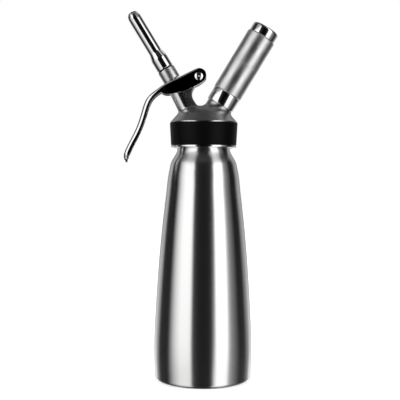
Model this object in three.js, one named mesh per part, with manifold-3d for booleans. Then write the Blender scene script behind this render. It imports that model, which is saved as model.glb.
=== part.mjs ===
// Whipped cream dispenser of one litre, all metal. A drawn steel bottle carries a cast head,
// and the head carries a lever valve with its nozzle, and a screw-on holder for an 8 g charger.
// Millimetres, +Z up. The origin is the centre of the bottle's base, and the lever points to -X.
// The valve's axis leans to -X and the charger's to +X, and both cross the bottle's axis.
import * as THREE from "three";
import { mergeVertices } from "three/addons/utils/BufferGeometryUtils.js";
import Module from "manifold-3d";

const wasm = await Module();
wasm.setup();

const degree = Math.PI / 180;
const fullTurn = 2 * Math.PI;

// Fits shared by all pieces
const faceGap = 0.3;
const slidingGap = 0.3;
const threadGap = 0.5;
const cutOverrun = 2;
const weldDistance = 0.0001;

// Bottle. Its side runs from the base corner over the belly and flank to the shoulder and neck
const bellyRadius = 48.8;
const bellyHeight = 23;
const baseCornerRadius = 4;
const baseSpread = 0.9;
const flankRise = 190;
const shoulderSpread = 7.2;
const shoulderRise = 16.5;
const neckRadius = 26.3;
const neckLength = 22.5;
const rimRounding = 0.8;
const bottleWall = 1.2;
const neckWall = 2.2;
const floorThickness = 2.4;
const footGrooveRadius = 33;
const footGrooveWidth = 4;
const footGrooveDepth = 1;
const flankShares = [
  [0.193, 0.944], [0.384, 0.806], [0.575, 0.623], [0.765, 0.385], [0.891, 0.2], [0.954, 0.11],
];
const shoulderShares = [[0.26, 0.858], [0.503, 0.579], [0.745, 0.246]];

// Head casting, the gasket under it and the band round its skirt
const gasketThickness = 2.7;
const gasketShelf = 4.4;
const skirtDepth = 20.2;
const skirtWall = 3.5;
const lipProud = 2.1;
const lipHeight = 2.8;
const lipBevel = 0.9;
const lipFootWidth = 0.7;
const domeEdgeLift = 2.7;
const domeEdgeProud = 2.7;
const domeEdgeRounding = 0.5;
const coneInset = 8.4;
const coneRise = 9.4;
const crownRise = 6.9;
const domeCrownShares = [[0.74, 0.6], [0.37, 0.93]];
const roofThickness = 3.4;
const ceilingRadius = 14;
const bandFootThickness = 2;
const bandTopThickness = 3.2;
const bandEdgeRounding = 0.6;

// Both leaning axes cross the bottle's axis this far under the dome's edge
const crossingDepth = 10;

// Valve axis. Places along it are counted from the crossing
const valveLean = 31.5 * degree;
const neckLean = 26.5 * degree;
const valveSeatReach = 17;
const stemGuideLength = 13;
const springChamberLength = 15;
const bushSeatDepth = 4.5;
const bushLedge = 1.4;
const spoutNeckWall = 1.6;
const bossWall = 0.7;

// Valve stem and what it carries
const stemRadius = 3.8;
const stemWall = 1.9;
const stemHeadLip = 1.2;
const stemHeadThickness = 1.5;
const stemPortRadius = 1.1;
const stemShoulderThickness = 1.8;
const sealThickness = 3.5;
const sealWidth = 2.5;
const ringGrooveDepth = 1;
const ringGrooveWidth = 1.8;
const ringSpacing = 4;
const ringWire = 1;
const ringSides = 5;
const springSpace = 2.2;
const springClearance = 0.4;
const springWire = 1.1;
const springTurns = 5.5;
const springStepsPerTurn = 8;
const springSides = 5;
const pressNutWall = 1.9;
const pressNutThickness = 2.5;

// Collar, nozzle and the seal between them
const collarRadius = 8.8;
const collarLength = 11.8;
const collarChamfer = 0.5;
const spigotRadius = 5.4;
const spigotLength = 9;
const nozzleSealThickness = 0.7;
const nozzleSealRadius = 8;
const nozzleBaseRadius = 8.25;
const nozzleBaseLength = 11.6;
const nozzleConeLength = 7;
const nozzleTubeRadius = 6.4;
const nozzleLength = 64.8;
const nozzleWall = 1.3;
const nozzleTipLength = 4.5;
const nozzleMouthRadius = 3.4;
const tipSlotWidth = 1.3;
const tipSlotDepth = 8;
const tipSlotPairs = 3;

// Lever: one stamped channel. Its pivot is placed across the valve's axis and under the neck's top
const pivotReach = 24.2;
const pivotDrop = 0.3;
const webSlope = 5.24 * degree;
const sheetThickness = 1.3;
const cheekClearance = 0.6;
const cheekReach = 40.2;
const channelDepth = 20;
const channelFold = 3;
const handleReach = 106.6;
const handleDrop = 35.5;
const leverStations = 30;
const foldSteps = 3;
const webShares = [-0.1, 0, 0.1, 0.2, 0.31];
const handleBackShares = [
  [0.402, -0.299], [0.487, -0.268], [0.536, -0.209], [0.579, -0.118], [0.633, 0.025],
  [0.746, 0.304], [0.877, 0.552], [0.9456, 0.687], [0.985, 0.806], [1, 1],
];
const leverWidthShares = [
  [0, 1], [0.3, 1], [0.64, 0.6], [0.8, 0.56], [0.92, 0.6], [0.97, 0.48], [1, 0.2],
];
const leverDepthShares = [
  [0, 1], [0.345, 1], [0.375, 0.22], [0.46, 0.28], [0.52, 0.33], [0.9, 0.33], [0.955, 0.12], [1, 0.1],
];
const cheekEdgeShares = [
  [1, -0.741], [0.98, -0.49], [0.908, -0.148], [0.719, 0.259],
  [0.47, 0.654], [0.244, 0.79], [-0.03, 0.815], [-0.139, 0.605],
];
const slotInward = 6.6;
const slotOutward = 4.9;

// Pivot: lug on the casting, hollow pin, nut and two washers
const lugWall = 3.4;
const lugClearance = 0.6;
const armDepth = 28;
const armFilletRadius = 11;
const neckWebSetback = 1.4;
const neckWebInset = 0.2;
const neckWebLength = 8.6;
const pinRadius = 2.5;
const pinHeadRadius = 4;
const pinHeadThickness = 1.2;
const pinBoreRadius = 1.5;
const pinBoreDepth = 9;
const pinSocketRadius = 1.9;
const pinSocketDepth = 0.8;
const washerRadius = 5.4;
const washerThickness = 1.3;

// Charger axis: socket on the casting, holder, charger and piercing parts
const chargerLean = 31 * degree;
const socketStand = 1.7;
const socketNeckLength = 7;
const socketFlare = 3;
const socketThreadRadius = 11.7;
const socketThreadLength = 10;
const socketLedge = 1.3;
const holderLength = 89.1;
const holderBandWall = 2;
const holderBandLength = 13.3;
const holderCoreWall = 3;
const holderEdgeRounding = 0.6;
const holderEndWall = 1.5;
const gripWall = 2;
const gripChamfer = 0.5;
const capInset = 1.2;
const capLength = 9.8;
const capRounding = 2.4;
const capSpigotRadius = 6;
const capSpigotLength = 5;
const chargerRadius = 9;
const chargerWall = 1.4;
const chargerNeckRadius = 4.2;
const chargerNeckLength = 4;
const chargerShoulderLength = 9;
const chargerSealThickness = 0.7;
const inletSeatDepth = 13.6;
const inletBoreRadius = 4.3;
const inletBoreLength = 9.7;
const inletFlangeRadius = 6;
const inletFlangeThickness = 2.7;
const gasHoleRadius = 1.2;
const discThickness = 1.6;
const discTravel = 0.8;
const carrierRadius = 6;
const carrierLength = 11.9;
const piercerRadius = 1.3;
const piercerLength = 12.2;
const piercerTipLength = 2.5;
const chargerGasketThickness = 1.8;
const chargerGasketHoleRadius = 2.2;

// Facets round a turned piece
const bottleSegments = 40;
const largeSegments = 36;
const mediumSegments = 24;
const smallSegments = 16;

// Sizes worked out from the ones above, from the bottle up to the dome
const shoulderHeight = bellyHeight + flankRise;
const shoulderRadius = neckRadius + shoulderSpread;
const neckFootHeight = shoulderHeight + shoulderRise;
const rimHeight = neckFootHeight + neckLength;
const neckBoreRadius = neckRadius + threadGap;
const skirtRadius = neckBoreRadius + skirtWall;
const skirtFootHeight = rimHeight - skirtDepth;
const lipRadius = skirtRadius + lipProud;
const lipTopHeight = skirtFootHeight + lipHeight;
const gasketFootHeight = rimHeight + faceGap;
const shelfHeight = gasketFootHeight + gasketThickness + faceGap;
const domeEdgeRadius = skirtRadius + domeEdgeProud;
const domeEdgeHeight = shelfHeight + domeEdgeLift;
const coneTopRadius = domeEdgeRadius - coneInset;
const coneTopHeight = domeEdgeHeight + coneRise;
const domeHeight = coneTopHeight + crownRise;
const ceilingHeight = coneTopHeight - roofThickness;
const bandInnerRadius = skirtRadius + slidingGap;
const bandFootRadius = bandInnerRadius + bandFootThickness;
const bandTopRadius = bandInnerRadius + bandTopThickness;
const crossingHeight = domeEdgeHeight - crossingDepth;
const bossTopReach = ceilingHeight - crossingHeight + sealWidth + stemRadius;

// Valve, from its seat up to the nozzle
const springChamberReach = valveSeatReach + stemGuideLength;
const bushSeatReach = springChamberReach + springChamberLength;
const spoutNeckReach = bushSeatReach + bushSeatDepth;
const pivotRise = spoutNeckReach - pivotDrop;
const armFootReach = spoutNeckReach - armDepth;
const stemBoreRadius = stemRadius - stemWall;
const stemHeadRadius = stemRadius + stemHeadLip;
const valveBoreRadius = stemRadius + slidingGap;
const springChamberRadius = stemRadius + springSpace;
const stemShoulderRadius = springChamberRadius - springClearance;
const bushRadius = springChamberRadius + bushLedge;
const spoutNeckRadius = bushRadius + slidingGap + spoutNeckWall;
const sealRadius = stemRadius + sealWidth;
const seatBossRadius = sealRadius + threadGap + bossWall;
const sealTopReach = valveSeatReach - faceGap;
const sealFootReach = sealTopReach - sealThickness;
const stemHeadTopReach = sealFootReach - faceGap;
const stemFootReach = stemHeadTopReach - stemHeadThickness;
const portReach = valveSeatReach + stemPortRadius;
const lowerRingReach = portReach + ringSpacing;
const upperRingReach = lowerRingReach + ringSpacing;
const bushFootReach = bushSeatReach + faceGap;
const shoulderTopReach = bushFootReach - faceGap;
const shoulderFootReach = shoulderTopReach - stemShoulderThickness;
const pinHoleRadius = pinRadius + slidingGap;
const lugRadius = pinHoleRadius + lugWall;
const webOffset = lugRadius + lugClearance + sheetThickness;
const cheekInnerHalf = spoutNeckRadius + cheekClearance;
const cheekOuterHalf = cheekInnerHalf + sheetThickness;
const lugHalf = cheekInnerHalf - washerThickness - 2 * faceGap;
const pressNutRadius = valveBoreRadius + pressNutWall;
const pressNutTopReach = webTopAt(pressNutRadius) - sheetThickness / Math.cos(webSlope) - faceGap;
const pressNutFootReach = pressNutTopReach - pressNutThickness;
const collarFootReach = webTopAt(-collarRadius) + faceGap;
const collarTopReach = collarFootReach + collarLength;
const stemTopReach = collarTopReach - stemHeadThickness;
const nozzleSealReach = collarTopReach + faceGap;
const nozzleReach = nozzleSealReach + nozzleSealThickness + faceGap;

// Charger, from its socket on the casting up to the end cap
const coneTopReach = coneTopRadius * Math.sin(chargerLean)
  + (coneTopHeight - crossingHeight) * Math.cos(chargerLean);
const socketReach = coneTopReach + socketStand;
const socketFlareReach = socketReach - socketNeckLength;
const socketRadius = socketThreadRadius + socketLedge;
const socketTopReach = socketReach + socketThreadLength;
const inletSeatReach = socketReach - inletSeatDepth;
const inletBossRadius = inletFlangeRadius + threadGap + bossWall;
const pinBoreReach = inletSeatReach + inletBoreLength;
const discTopReach = pinBoreReach;
const discFootReach = discTopReach - discThickness;
const carrierReach = pinBoreReach + faceGap;
const carrierTopReach = carrierReach + carrierLength;
const chargerGasketReach = carrierTopReach + faceGap;
const chargerSealReach = chargerGasketReach + chargerGasketThickness + faceGap;
const chargerReach = chargerSealReach + chargerSealThickness + faceGap;
const holderReach = socketReach + faceGap;
const holderTopReach = holderReach + holderLength;
const holderBandRadius = socketThreadRadius + threadGap + holderBandWall;
const holderCoreRadius = chargerRadius + threadGap + holderCoreWall;
const gripRadius = holderCoreRadius + slidingGap + gripWall;
const gripReach = holderReach + holderBandLength + faceGap;
const capRadius = gripRadius - capInset;
const capReach = holderTopReach - capLength;
const coreTopReach = capReach - faceGap;
const chargerTopReach = coreTopReach - holderEndWall - faceGap;

// Height of the lever's top face over the crossing, at a distance across the valve's axis
function webTopAt(across) {
  return pivotRise + webOffset / Math.cos(webSlope) + (pivotReach - across) * Math.tan(webSlope);
}

// Bare copy of a geometry with its seams merged, collapsed triangles dropped and faces turned out
function closedGeometry(geometry) {
  const bare = geometry.clone();
  bare.deleteAttribute("normal");
  bare.deleteAttribute("uv");
  const merged = mergeVertices(bare, weldDistance);
  const position = merged.getAttribute("position");
  const corners = Array.from(merged.getIndex().array);
  const faces = [];
  let volume = 0;
  for (let i = 0; i < corners.length; i += 3) {
    const [a, b, c] = corners.slice(i, i + 3);
    if (a === b || b === c || c === a) continue;
    const [pa, pb, pc] = [a, b, c].map((k) => new THREE.Vector3().fromBufferAttribute(position, k));
    volume += pa.dot(pb.cross(pc));
    faces.push([a, b, c]);
  }
  const outward = volume < 0 ? faces.map(([a, b, c]) => [a, c, b]) : faces;
  merged.setIndex(outward.flat());
  return merged;
}

function toSolid(geometry) {
  const shape = closedGeometry(geometry);
  const vertProperties = new Float32Array(shape.getAttribute("position").array);
  const triVerts = new Uint32Array(shape.getIndex().array);
  return new wasm.Manifold(new wasm.Mesh({ numProp: 3, vertProperties, triVerts }));
}

function toGeometry(solid) {
  const mesh = solid.getMesh();
  const geometry = new THREE.BufferGeometry();
  geometry.setAttribute("position", new THREE.BufferAttribute(mesh.vertProperties, 3));
  geometry.setIndex(new THREE.BufferAttribute(mesh.triVerts, 1));
  geometry.computeVertexNormals();
  return geometry;
}

// Body turned about +Z from [radius, height] points. It is closed on itself or by the axis
function turned(profile, segments) {
  const points = profile.map(([radius, height]) => new THREE.Vector2(radius, height));
  const onAxis = profile[0][0] === 0 && profile[profile.length - 1][0] === 0;
  if (!onAxis) points.push(points[0].clone());
  return closedGeometry(new THREE.LatheGeometry(points, segments).rotateX(Math.PI / 2));
}

function ring(innerRadius, outerRadius, foot, top, segments) {
  return turned([[innerRadius, foot], [outerRadius, foot], [outerRadius, top], [innerRadius, top]], segments);
}

function rod(radius, foot, top, segments) {
  return turned([[0, foot], [radius, foot], [radius, top], [0, top]], segments);
}

// Plate of an X-Z outline, centred on Y = 0
function plate(shape, halfThickness, steps) {
  const depth = 2 * halfThickness;
  const geometry = new THREE.ExtrudeGeometry(shape, { depth, bevelEnabled: false, curveSegments: steps });
  return geometry.translate(0, 0, -halfThickness).rotateX(Math.PI / 2);
}

// Quarter round between two points of a turned profile, bulging to the corner
function rounded(from, corner, to, steps) {
  const places = [from, corner, to].map(([x, y]) => new THREE.Vector2(x, y));
  const curve = new THREE.QuadraticBezierCurve(...places);
  return curve.getPoints(steps).map((point) => [point.x, point.y]);
}

function smoothProfile(points, divisions) {
  const curve = new THREE.SplineCurve(points.map(([x, y]) => new THREE.Vector2(x, y)));
  return curve.getPoints(divisions).map((point) => [point.x, point.y]);
}

// Straight-line reading of a table of [place share, value share] rows
function readShares(rows, place) {
  const next = rows.findIndex(([start]) => start >= place);
  if (next <= 0) return rows[next < 0 ? rows.length - 1 : 0][1];
  const [low, high] = [rows[next - 1], rows[next]];
  return THREE.MathUtils.mapLinear(place, low[0], high[0], low[1], high[1]);
}

// Frames of the two leaning axes, with +Z along the axis
function leaningFrame(lean) {
  const turn = new THREE.Matrix4().makeRotationY(lean);
  return new THREE.Matrix4().makeTranslation(0, 0, crossingHeight).multiply(turn);
}
const valveFrame = leaningFrame(-valveLean);
const chargerFrame = leaningFrame(chargerLean);

const finishes = {
  brushedSteel: { color: 0xc4c4c4, roughness: 0.32, metalness: 1 },
  castSteel: { color: 0x77777a, roughness: 0.42, metalness: 1 },
  polishedSteel: { color: 0xe2e2e2, roughness: 0.08, metalness: 1 },
  darkMirror: { color: 0x9a9a9c, roughness: 0.06, metalness: 1 },
  brass: { color: 0xb58f45, roughness: 0.3, metalness: 1 },
  blackBand: { color: 0x0e0e0e, roughness: 0.55, metalness: 0 },
  rubber: { color: 0x141414, roughness: 0.7, metalness: 0 },
  whiteRubber: { color: 0xe6e2da, roughness: 0.6, metalness: 0 },
};

function piece(name, geometry, finish) {
  const mesh = new THREE.Mesh(geometry, new THREE.MeshStandardMaterial(finishes[finish]));
  mesh.name = name;
  return mesh;
}

// Outer side of the bottle, from the top of its base corner to the foot of its neck
function bottleSide() {
  const flank = flankShares.map(([rise, spread]) => [
    THREE.MathUtils.lerp(shoulderRadius, bellyRadius, spread),
    bellyHeight + rise * flankRise,
  ]);
  const shoulder = shoulderShares.map(([rise, spread]) => [
    THREE.MathUtils.lerp(neckRadius, shoulderRadius, spread),
    shoulderHeight + rise * shoulderRise,
  ]);
  const foot = [bellyRadius - baseSpread, baseCornerRadius];
  const belly = [bellyRadius, bellyHeight];
  const lower = smoothProfile([foot, belly, ...flank, [shoulderRadius, shoulderHeight]], 11);
  const shoulderTop = [shoulderRadius, shoulderHeight];
  const upper = smoothProfile([shoulderTop, ...shoulder, [neckRadius, neckFootHeight]], 6);
  return [...lower, ...upper.slice(1)];
}

function makeBottle() {
  const side = bottleSide();
  const baseRadius = bellyRadius - baseSpread;
  const standRadius = baseRadius - baseCornerRadius;
  const mouthRadius = neckRadius - neckWall;
  const grooveInner = footGrooveRadius - footGrooveWidth / 2;
  const grooveOuter = footGrooveRadius + footGrooveWidth / 2;
  const foot = [
    [0, 0],
    [grooveInner, 0],
    [grooveInner + footGrooveDepth, footGrooveDepth],
    [grooveOuter - footGrooveDepth, footGrooveDepth],
    [grooveOuter, 0],
  ];
  const corner = rounded([standRadius, 0], [baseRadius, 0], side[0], 3);
  const rimEdge = rimHeight - rimRounding;
  const rimFace = [neckRadius - rimRounding, rimHeight];
  const rim = rounded([neckRadius, rimEdge], [neckRadius, rimHeight], rimFace, 2);
  const cavityFoot = floorThickness + baseCornerRadius;
  const inside = side
    .filter(([, height], k) => k % 3 === 1 && height > cavityFoot && height < neckFootHeight)
    .map(([radius, height]) => [Math.max(radius - bottleWall, mouthRadius), height])
    .reverse();
  const cavity = [
    [mouthRadius, rimHeight],
    [mouthRadius, neckFootHeight],
    ...inside,
    [standRadius, floorThickness],
    [0, floorThickness],
  ];
  return turned([...foot, ...corner, ...side.slice(1), ...rim, ...cavity], bottleSegments);
}

// Head casting
function domeProfile() {
  const crown = domeCrownShares.map(([spread, rise]) => [
    spread * coneTopRadius,
    coneTopHeight + rise * crownRise,
  ]);
  return smoothProfile([[coneTopRadius, coneTopHeight], ...crown, [0, domeHeight]], 6);
}

function skirtAndDome() {
  const bandSeatHeight = domeEdgeHeight - domeEdgeRounding;
  return toSolid(turned([
    [0, skirtFootHeight],
    [neckBoreRadius + lipFootWidth, skirtFootHeight],
    [lipRadius, skirtFootHeight + lipBevel],
    [lipRadius, lipTopHeight],
    [skirtRadius, lipTopHeight],
    [skirtRadius, bandSeatHeight],
    [domeEdgeRadius, bandSeatHeight],
    [domeEdgeRadius, domeEdgeHeight],
    ...domeProfile(),
  ], largeSegments));
}

function headCavity() {
  return toSolid(turned([
    [0, skirtFootHeight - cutOverrun],
    [neckBoreRadius, skirtFootHeight - cutOverrun],
    [neckBoreRadius, shelfHeight],
    [neckBoreRadius - gasketShelf, shelfHeight],
    [ceilingRadius, ceilingHeight],
    [0, ceilingHeight],
  ], largeSegments));
}

// Round neck of the casting. It stands a little steeper than the valve and meets it at its top
function spoutNeck() {
  const neckTurn = new THREE.Matrix4().makeRotationY(valveLean - neckLean);
  const neckShift = new THREE.Matrix4().makeTranslation(0, 0, spoutNeckReach);
  const neckLength = spoutNeckReach - valveSeatReach;
  const body = rod(spoutNeckRadius, -neckLength, cutOverrun, mediumSegments)
    .applyMatrix4(neckTurn)
    .applyMatrix4(neckShift);
  const levelRadius = spoutNeckRadius + cutOverrun;
  const level = rod(levelRadius, spoutNeckReach, spoutNeckReach + 3 * cutOverrun, mediumSegments);
  return toSolid(body).subtract(toSolid(level));
}

// Flat-sided web of the neck, swept up in one curve to the lug that holds the pivot
function pivotArm() {
  const underside = pivotRise - lugRadius;
  const armTop = spoutNeckReach - faceGap;
  const webReach = spoutNeckRadius - neckWebSetback;
  const [curveX, curveY] = [webReach + armFilletRadius, underside - armFilletRadius];
  const outline = new THREE.Shape();
  outline.moveTo(0, armFootReach);
  outline.lineTo(webReach, armFootReach);
  outline.absarc(curveX, curveY, armFilletRadius, 180 * degree, 90 * degree, true);
  outline.lineTo(pivotReach, underside);
  outline.absarc(pivotReach, pivotRise, lugRadius, -90 * degree, 110 * degree, false);
  outline.lineTo(webReach, armTop);
  outline.lineTo(0, armTop);
  const webEnd = webReach + neckWebLength;
  const webSpace = new THREE.BoxGeometry(2 * webEnd, 2 * spoutNeckRadius, 2 * spoutNeckReach);
  const web = toSolid(plate(outline, spoutNeckRadius - neckWebInset, 6)).intersect(toSolid(webSpace));
  return web.add(toSolid(plate(outline, lugHalf, 6)));
}

function chargerSocket() {
  const flareFoot = socketFlareReach - socketFlare;
  const flareRadius = socketRadius + socketFlare;
  return toSolid(turned([
    [0, flareFoot],
    ...rounded([flareRadius, flareFoot], [socketRadius, flareFoot], [socketRadius, socketFlareReach], 4),
    [socketRadius, socketReach],
    [socketThreadRadius, socketReach],
    [socketThreadRadius, socketTopReach],
    [0, socketTopReach],
  ], mediumSegments));
}

function valveBores() {
  const pocket = rod(sealRadius + threadGap, stemFootReach, valveSeatReach, smallSegments);
  const bore = rod(valveBoreRadius, stemFootReach, springChamberReach + cutOverrun, smallSegments);
  const chamber = rod(springChamberRadius, springChamberReach, bushSeatReach + cutOverrun, smallSegments);
  const bushSeat = rod(bushRadius + slidingGap, bushSeatReach, spoutNeckReach + cutOverrun, mediumSegments);
  return toSolid(pocket).add(toSolid(bore)).add(toSolid(chamber)).add(toSolid(bushSeat));
}

function inletBores() {
  const pocketFoot = inletSeatReach - inletBossRadius;
  const pocket = rod(inletFlangeRadius + threadGap, pocketFoot, inletSeatReach, smallSegments);
  const bore = rod(inletBoreRadius, pocketFoot, pinBoreReach + cutOverrun, smallSegments);
  const pinBore = rod(carrierRadius + slidingGap, pinBoreReach, socketTopReach + cutOverrun, smallSegments);
  return toSolid(pocket).add(toSolid(bore)).add(toSolid(pinBore));
}

// Same solid, moved from a leaning frame to the model's
function inModel(solid, frame) {
  return toSolid(toGeometry(solid).applyMatrix4(frame));
}

function makeHeadBody() {
  const pivotBore = rod(pinHoleRadius, -lugHalf - cutOverrun, lugHalf + cutOverrun, smallSegments);
  pivotBore.rotateX(Math.PI / 2).translate(pivotReach, 0, pivotRise);
  const spout = spoutNeck().add(pivotArm()).subtract(toSolid(pivotBore));
  const seatBoss = toSolid(rod(seatBossRadius, valveSeatReach, bossTopReach, smallSegments));
  const inletBoss = toSolid(rod(inletBossRadius, inletSeatReach, bossTopReach, smallSegments));
  return toGeometry(
    skirtAndDome()
      .add(inModel(spout, valveFrame))
      .add(inModel(chargerSocket(), chargerFrame))
      .subtract(headCavity())
      .add(inModel(seatBoss, valveFrame))
      .add(inModel(inletBoss, chargerFrame))
      .subtract(inModel(valveBores(), valveFrame))
      .subtract(inModel(inletBores(), chargerFrame)),
  );
}

function makeGripBand() {
  const foot = lipTopHeight + faceGap;
  const top = domeEdgeHeight - domeEdgeRounding - faceGap;
  const [footInset, footEdge] = [bandFootRadius - bandEdgeRounding, foot + bandEdgeRounding];
  const [topInset, topEdge] = [bandTopRadius - bandEdgeRounding, top - bandEdgeRounding];
  return turned([
    [bandInnerRadius, foot],
    ...rounded([footInset, foot], [bandFootRadius, foot], [bandFootRadius, footEdge], 2),
    ...rounded([bandTopRadius, topEdge], [bandTopRadius, top], [topInset, top], 2),
    [bandInnerRadius, top],
  ], largeSegments);
}

function makeHeadGasket() {
  const inner = neckBoreRadius - gasketShelf + faceGap;
  const outer = neckBoreRadius - slidingGap;
  return ring(inner, outer, gasketFootHeight, gasketFootHeight + gasketThickness, largeSegments);
}

// Valve stem: bored from its top to the side ports above the seal
function makeValveStem() {
  const grooveRadius = stemRadius - ringGrooveDepth;
  const grooves = [lowerRingReach, upperRingReach].flatMap((reach) => [
    [stemRadius, reach - ringGrooveWidth / 2],
    [grooveRadius, reach - ringGrooveWidth / 2],
    [grooveRadius, reach + ringGrooveWidth / 2],
    [stemRadius, reach + ringGrooveWidth / 2],
  ]);
  const body = toSolid(turned([
    [0, stemFootReach],
    [stemHeadRadius, stemFootReach],
    [stemHeadRadius, stemHeadTopReach],
    [stemRadius, stemHeadTopReach],
    ...grooves,
    [stemRadius, shoulderFootReach],
    [stemShoulderRadius, shoulderFootReach],
    [stemShoulderRadius, shoulderTopReach],
    [stemRadius, shoulderTopReach],
    [stemRadius, stemTopReach],
    [0, stemTopReach],
  ], smallSegments));
  const passage = toSolid(rod(stemBoreRadius, portReach, stemTopReach + cutOverrun, smallSegments));
  const port = rod(stemPortRadius, -stemRadius - cutOverrun, stemRadius + cutOverrun, smallSegments);
  port.rotateX(Math.PI / 2).translate(0, 0, portReach);
  return toGeometry(body.subtract(passage).subtract(toSolid(port)));
}

function makeValveSeal() {
  const inner = stemRadius + slidingGap;
  const bevel = sealThickness / 2;
  return turned([
    [inner, sealFootReach],
    [sealRadius, sealFootReach],
    [sealRadius, sealTopReach - bevel],
    [inner + faceGap, sealTopReach],
    [inner, sealTopReach],
  ], smallSegments);
}

function makeStemRing(reach) {
  const wireRadius = ringWire / 2;
  const centreRadius = stemRadius + slidingGap / 2 - wireRadius;
  const torus = new THREE.TorusGeometry(centreRadius, wireRadius, ringSides, smallSegments);
  return closedGeometry(torus.translate(0, 0, reach));
}

// Return spring: one unbroken tube on a helix
function springPoint(turnsDone, foot, rise) {
  const angle = turnsDone * fullTurn;
  const radius = stemShoulderRadius - springWire / 2;
  return new THREE.Vector3(radius * Math.cos(angle), radius * Math.sin(angle), foot + rise * turnsDone);
}

function makeValveSpring() {
  const foot = springChamberReach + faceGap + springWire / 2;
  const top = shoulderFootReach - faceGap - springWire / 2;
  const rise = (top - foot) / springTurns;
  const steps = springTurns * springStepsPerTurn;
  const centres = [];
  const positions = [];
  for (let step = 0; step <= steps; step += 1) {
    const centre = springPoint(step / springStepsPerTurn, foot, rise);
    centres.push(centre);
    const outward = new THREE.Vector3(centre.x, centre.y, 0).normalize();
    for (let side = 0; side < springSides; side += 1) {
      const angle = (side / springSides) * fullTurn;
      const point = centre.clone().addScaledVector(outward, (springWire / 2) * Math.cos(angle));
      point.z += (springWire / 2) * Math.sin(angle);
      positions.push(point.x, point.y, point.z);
    }
  }
  const least = leastDistance(centres, springStepsPerTurn / 2) - springWire;
  console.log(`valve spring, least gap to itself ${least.toFixed(2)} mm`);
  return closedGeometry(tubeGeometry(positions, springSides));
}

// Least distance between points of a line that lie at least so many steps apart on it
function leastDistance(points, stepsApart) {
  const distances = points.flatMap((point, k) => {
    return points.slice(k + stepsApart).map((other) => point.distanceTo(other));
  });
  return Math.min(...distances);
}

// Closed tube from rings of points that follow each other, each with the same number of sides
function tubeGeometry(positions, sides) {
  const rings = positions.length / 3 / sides;
  const index = [];
  for (let row = 0; row + 1 < rings; row += 1) {
    for (let side = 0; side < sides; side += 1) {
      const a = row * sides + side;
      const b = row * sides + ((side + 1) % sides);
      index.push(a, b, b + sides, a, b + sides, a + sides);
    }
  }
  const last = (rings - 1) * sides;
  for (let side = 1; side + 1 < sides; side += 1) {
    index.push(0, side + 1, side, last, last + side, last + side + 1);
  }
  const geometry = new THREE.BufferGeometry();
  geometry.setAttribute("position", new THREE.Float32BufferAttribute(positions, 3));
  geometry.setIndex(index);
  return geometry;
}

function makeGuideBush() {
  return ring(stemRadius + slidingGap, bushRadius, bushFootReach, spoutNeckReach, mediumSegments);
}

function makePressNut() {
  return ring(stemRadius + slidingGap, pressNutRadius, pressNutFootReach, pressNutTopReach, mediumSegments);
}

function makeValveCollar() {
  const bore = stemRadius + slidingGap;
  const spigotTop = collarTopReach + spigotLength;
  return turned([
    [bore, collarFootReach],
    [collarRadius - collarChamfer, collarFootReach],
    [collarRadius, collarFootReach + collarChamfer],
    [collarRadius, collarTopReach],
    [spigotRadius, collarTopReach],
    [spigotRadius, spigotTop],
    [stemBoreRadius, spigotTop],
    [stemBoreRadius, stemTopReach + faceGap],
    [bore, stemTopReach + faceGap],
  ], mediumSegments);
}

function makeNozzleSeal() {
  const top = nozzleSealReach + nozzleSealThickness;
  return ring(spigotRadius + slidingGap, nozzleSealRadius, nozzleSealReach, top, mediumSegments);
}

// Decorating nozzle with slots that run out through its rounded tip
function makeNozzle() {
  const coneFoot = nozzleReach + nozzleBaseLength;
  const coneTop = coneFoot + nozzleConeLength;
  const tip = nozzleReach + nozzleLength;
  const tipFoot = tip - nozzleTipLength;
  const boreRadius = nozzleTubeRadius - nozzleWall;
  const mouthBore = nozzleMouthRadius - nozzleWall;
  const innerTip = tip - nozzleWall;
  const socketTop = collarTopReach + spigotLength + faceGap;
  const body = toSolid(turned([
    [spigotRadius + slidingGap, nozzleReach],
    [nozzleBaseRadius, nozzleReach],
    [nozzleBaseRadius, coneFoot],
    [nozzleTubeRadius, coneTop],
    ...rounded([nozzleTubeRadius, tipFoot], [nozzleTubeRadius, innerTip], [nozzleMouthRadius, tip], 4),
    ...rounded([mouthBore, innerTip], [boreRadius, innerTip - nozzleWall], [boreRadius, tipFoot], 3),
    [boreRadius, socketTop],
    [spigotRadius + slidingGap, socketTop],
  ], mediumSegments));
  let nozzle = body;
  for (let pair = 0; pair < tipSlotPairs; pair += 1) {
    const slot = new THREE.BoxGeometry(2 * nozzleBaseRadius, tipSlotWidth, 2 * tipSlotDepth);
    slot.translate(0, 0, tip).rotateZ((pair / tipSlotPairs) * Math.PI);
    nozzle = nozzle.subtract(toSolid(slot));
  }
  return toGeometry(nozzle);
}

// Line of the lever's back, from past the pivot over the web and down the handle
function leverSpine() {
  const web = webShares.map((share) => {
    const across = pivotReach - share * handleReach;
    return new THREE.Vector2(across, webTopAt(across));
  });
  const handle = handleBackShares.map(([reach, drop]) => {
    return new THREE.Vector2(pivotReach - reach * handleReach, pivotRise - drop * handleDrop);
  });
  return new THREE.SplineCurve([...web, ...handle]);
}

// Points of one half of the channel's section as [half width, depth], edge to crown
function foldPoints(half, depth, fold) {
  const points = [[half, depth]];
  for (let step = 0; step <= foldSteps; step += 1) {
    const angle = (step / foldSteps) * 90 * degree;
    points.push([half - fold + fold * Math.cos(angle), fold - fold * Math.sin(angle)]);
  }
  return points;
}

function channelSection(half, depth) {
  const fold = Math.min(channelFold, depth - sheetThickness / 2);
  const outer = foldPoints(half, depth, fold);
  const innerFold = Math.max(fold - sheetThickness, sheetThickness / 2);
  const inner = foldPoints(half - sheetThickness, depth - sheetThickness, innerFold)
    .map(([across, down]) => [across, down + sheetThickness]);
  const mirrored = (points) => points.map(([across, down]) => [-across, down]).reverse();
  return [...outer, ...mirrored(outer), ...mirrored(inner).reverse(), ...inner.reverse()];
}

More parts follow.
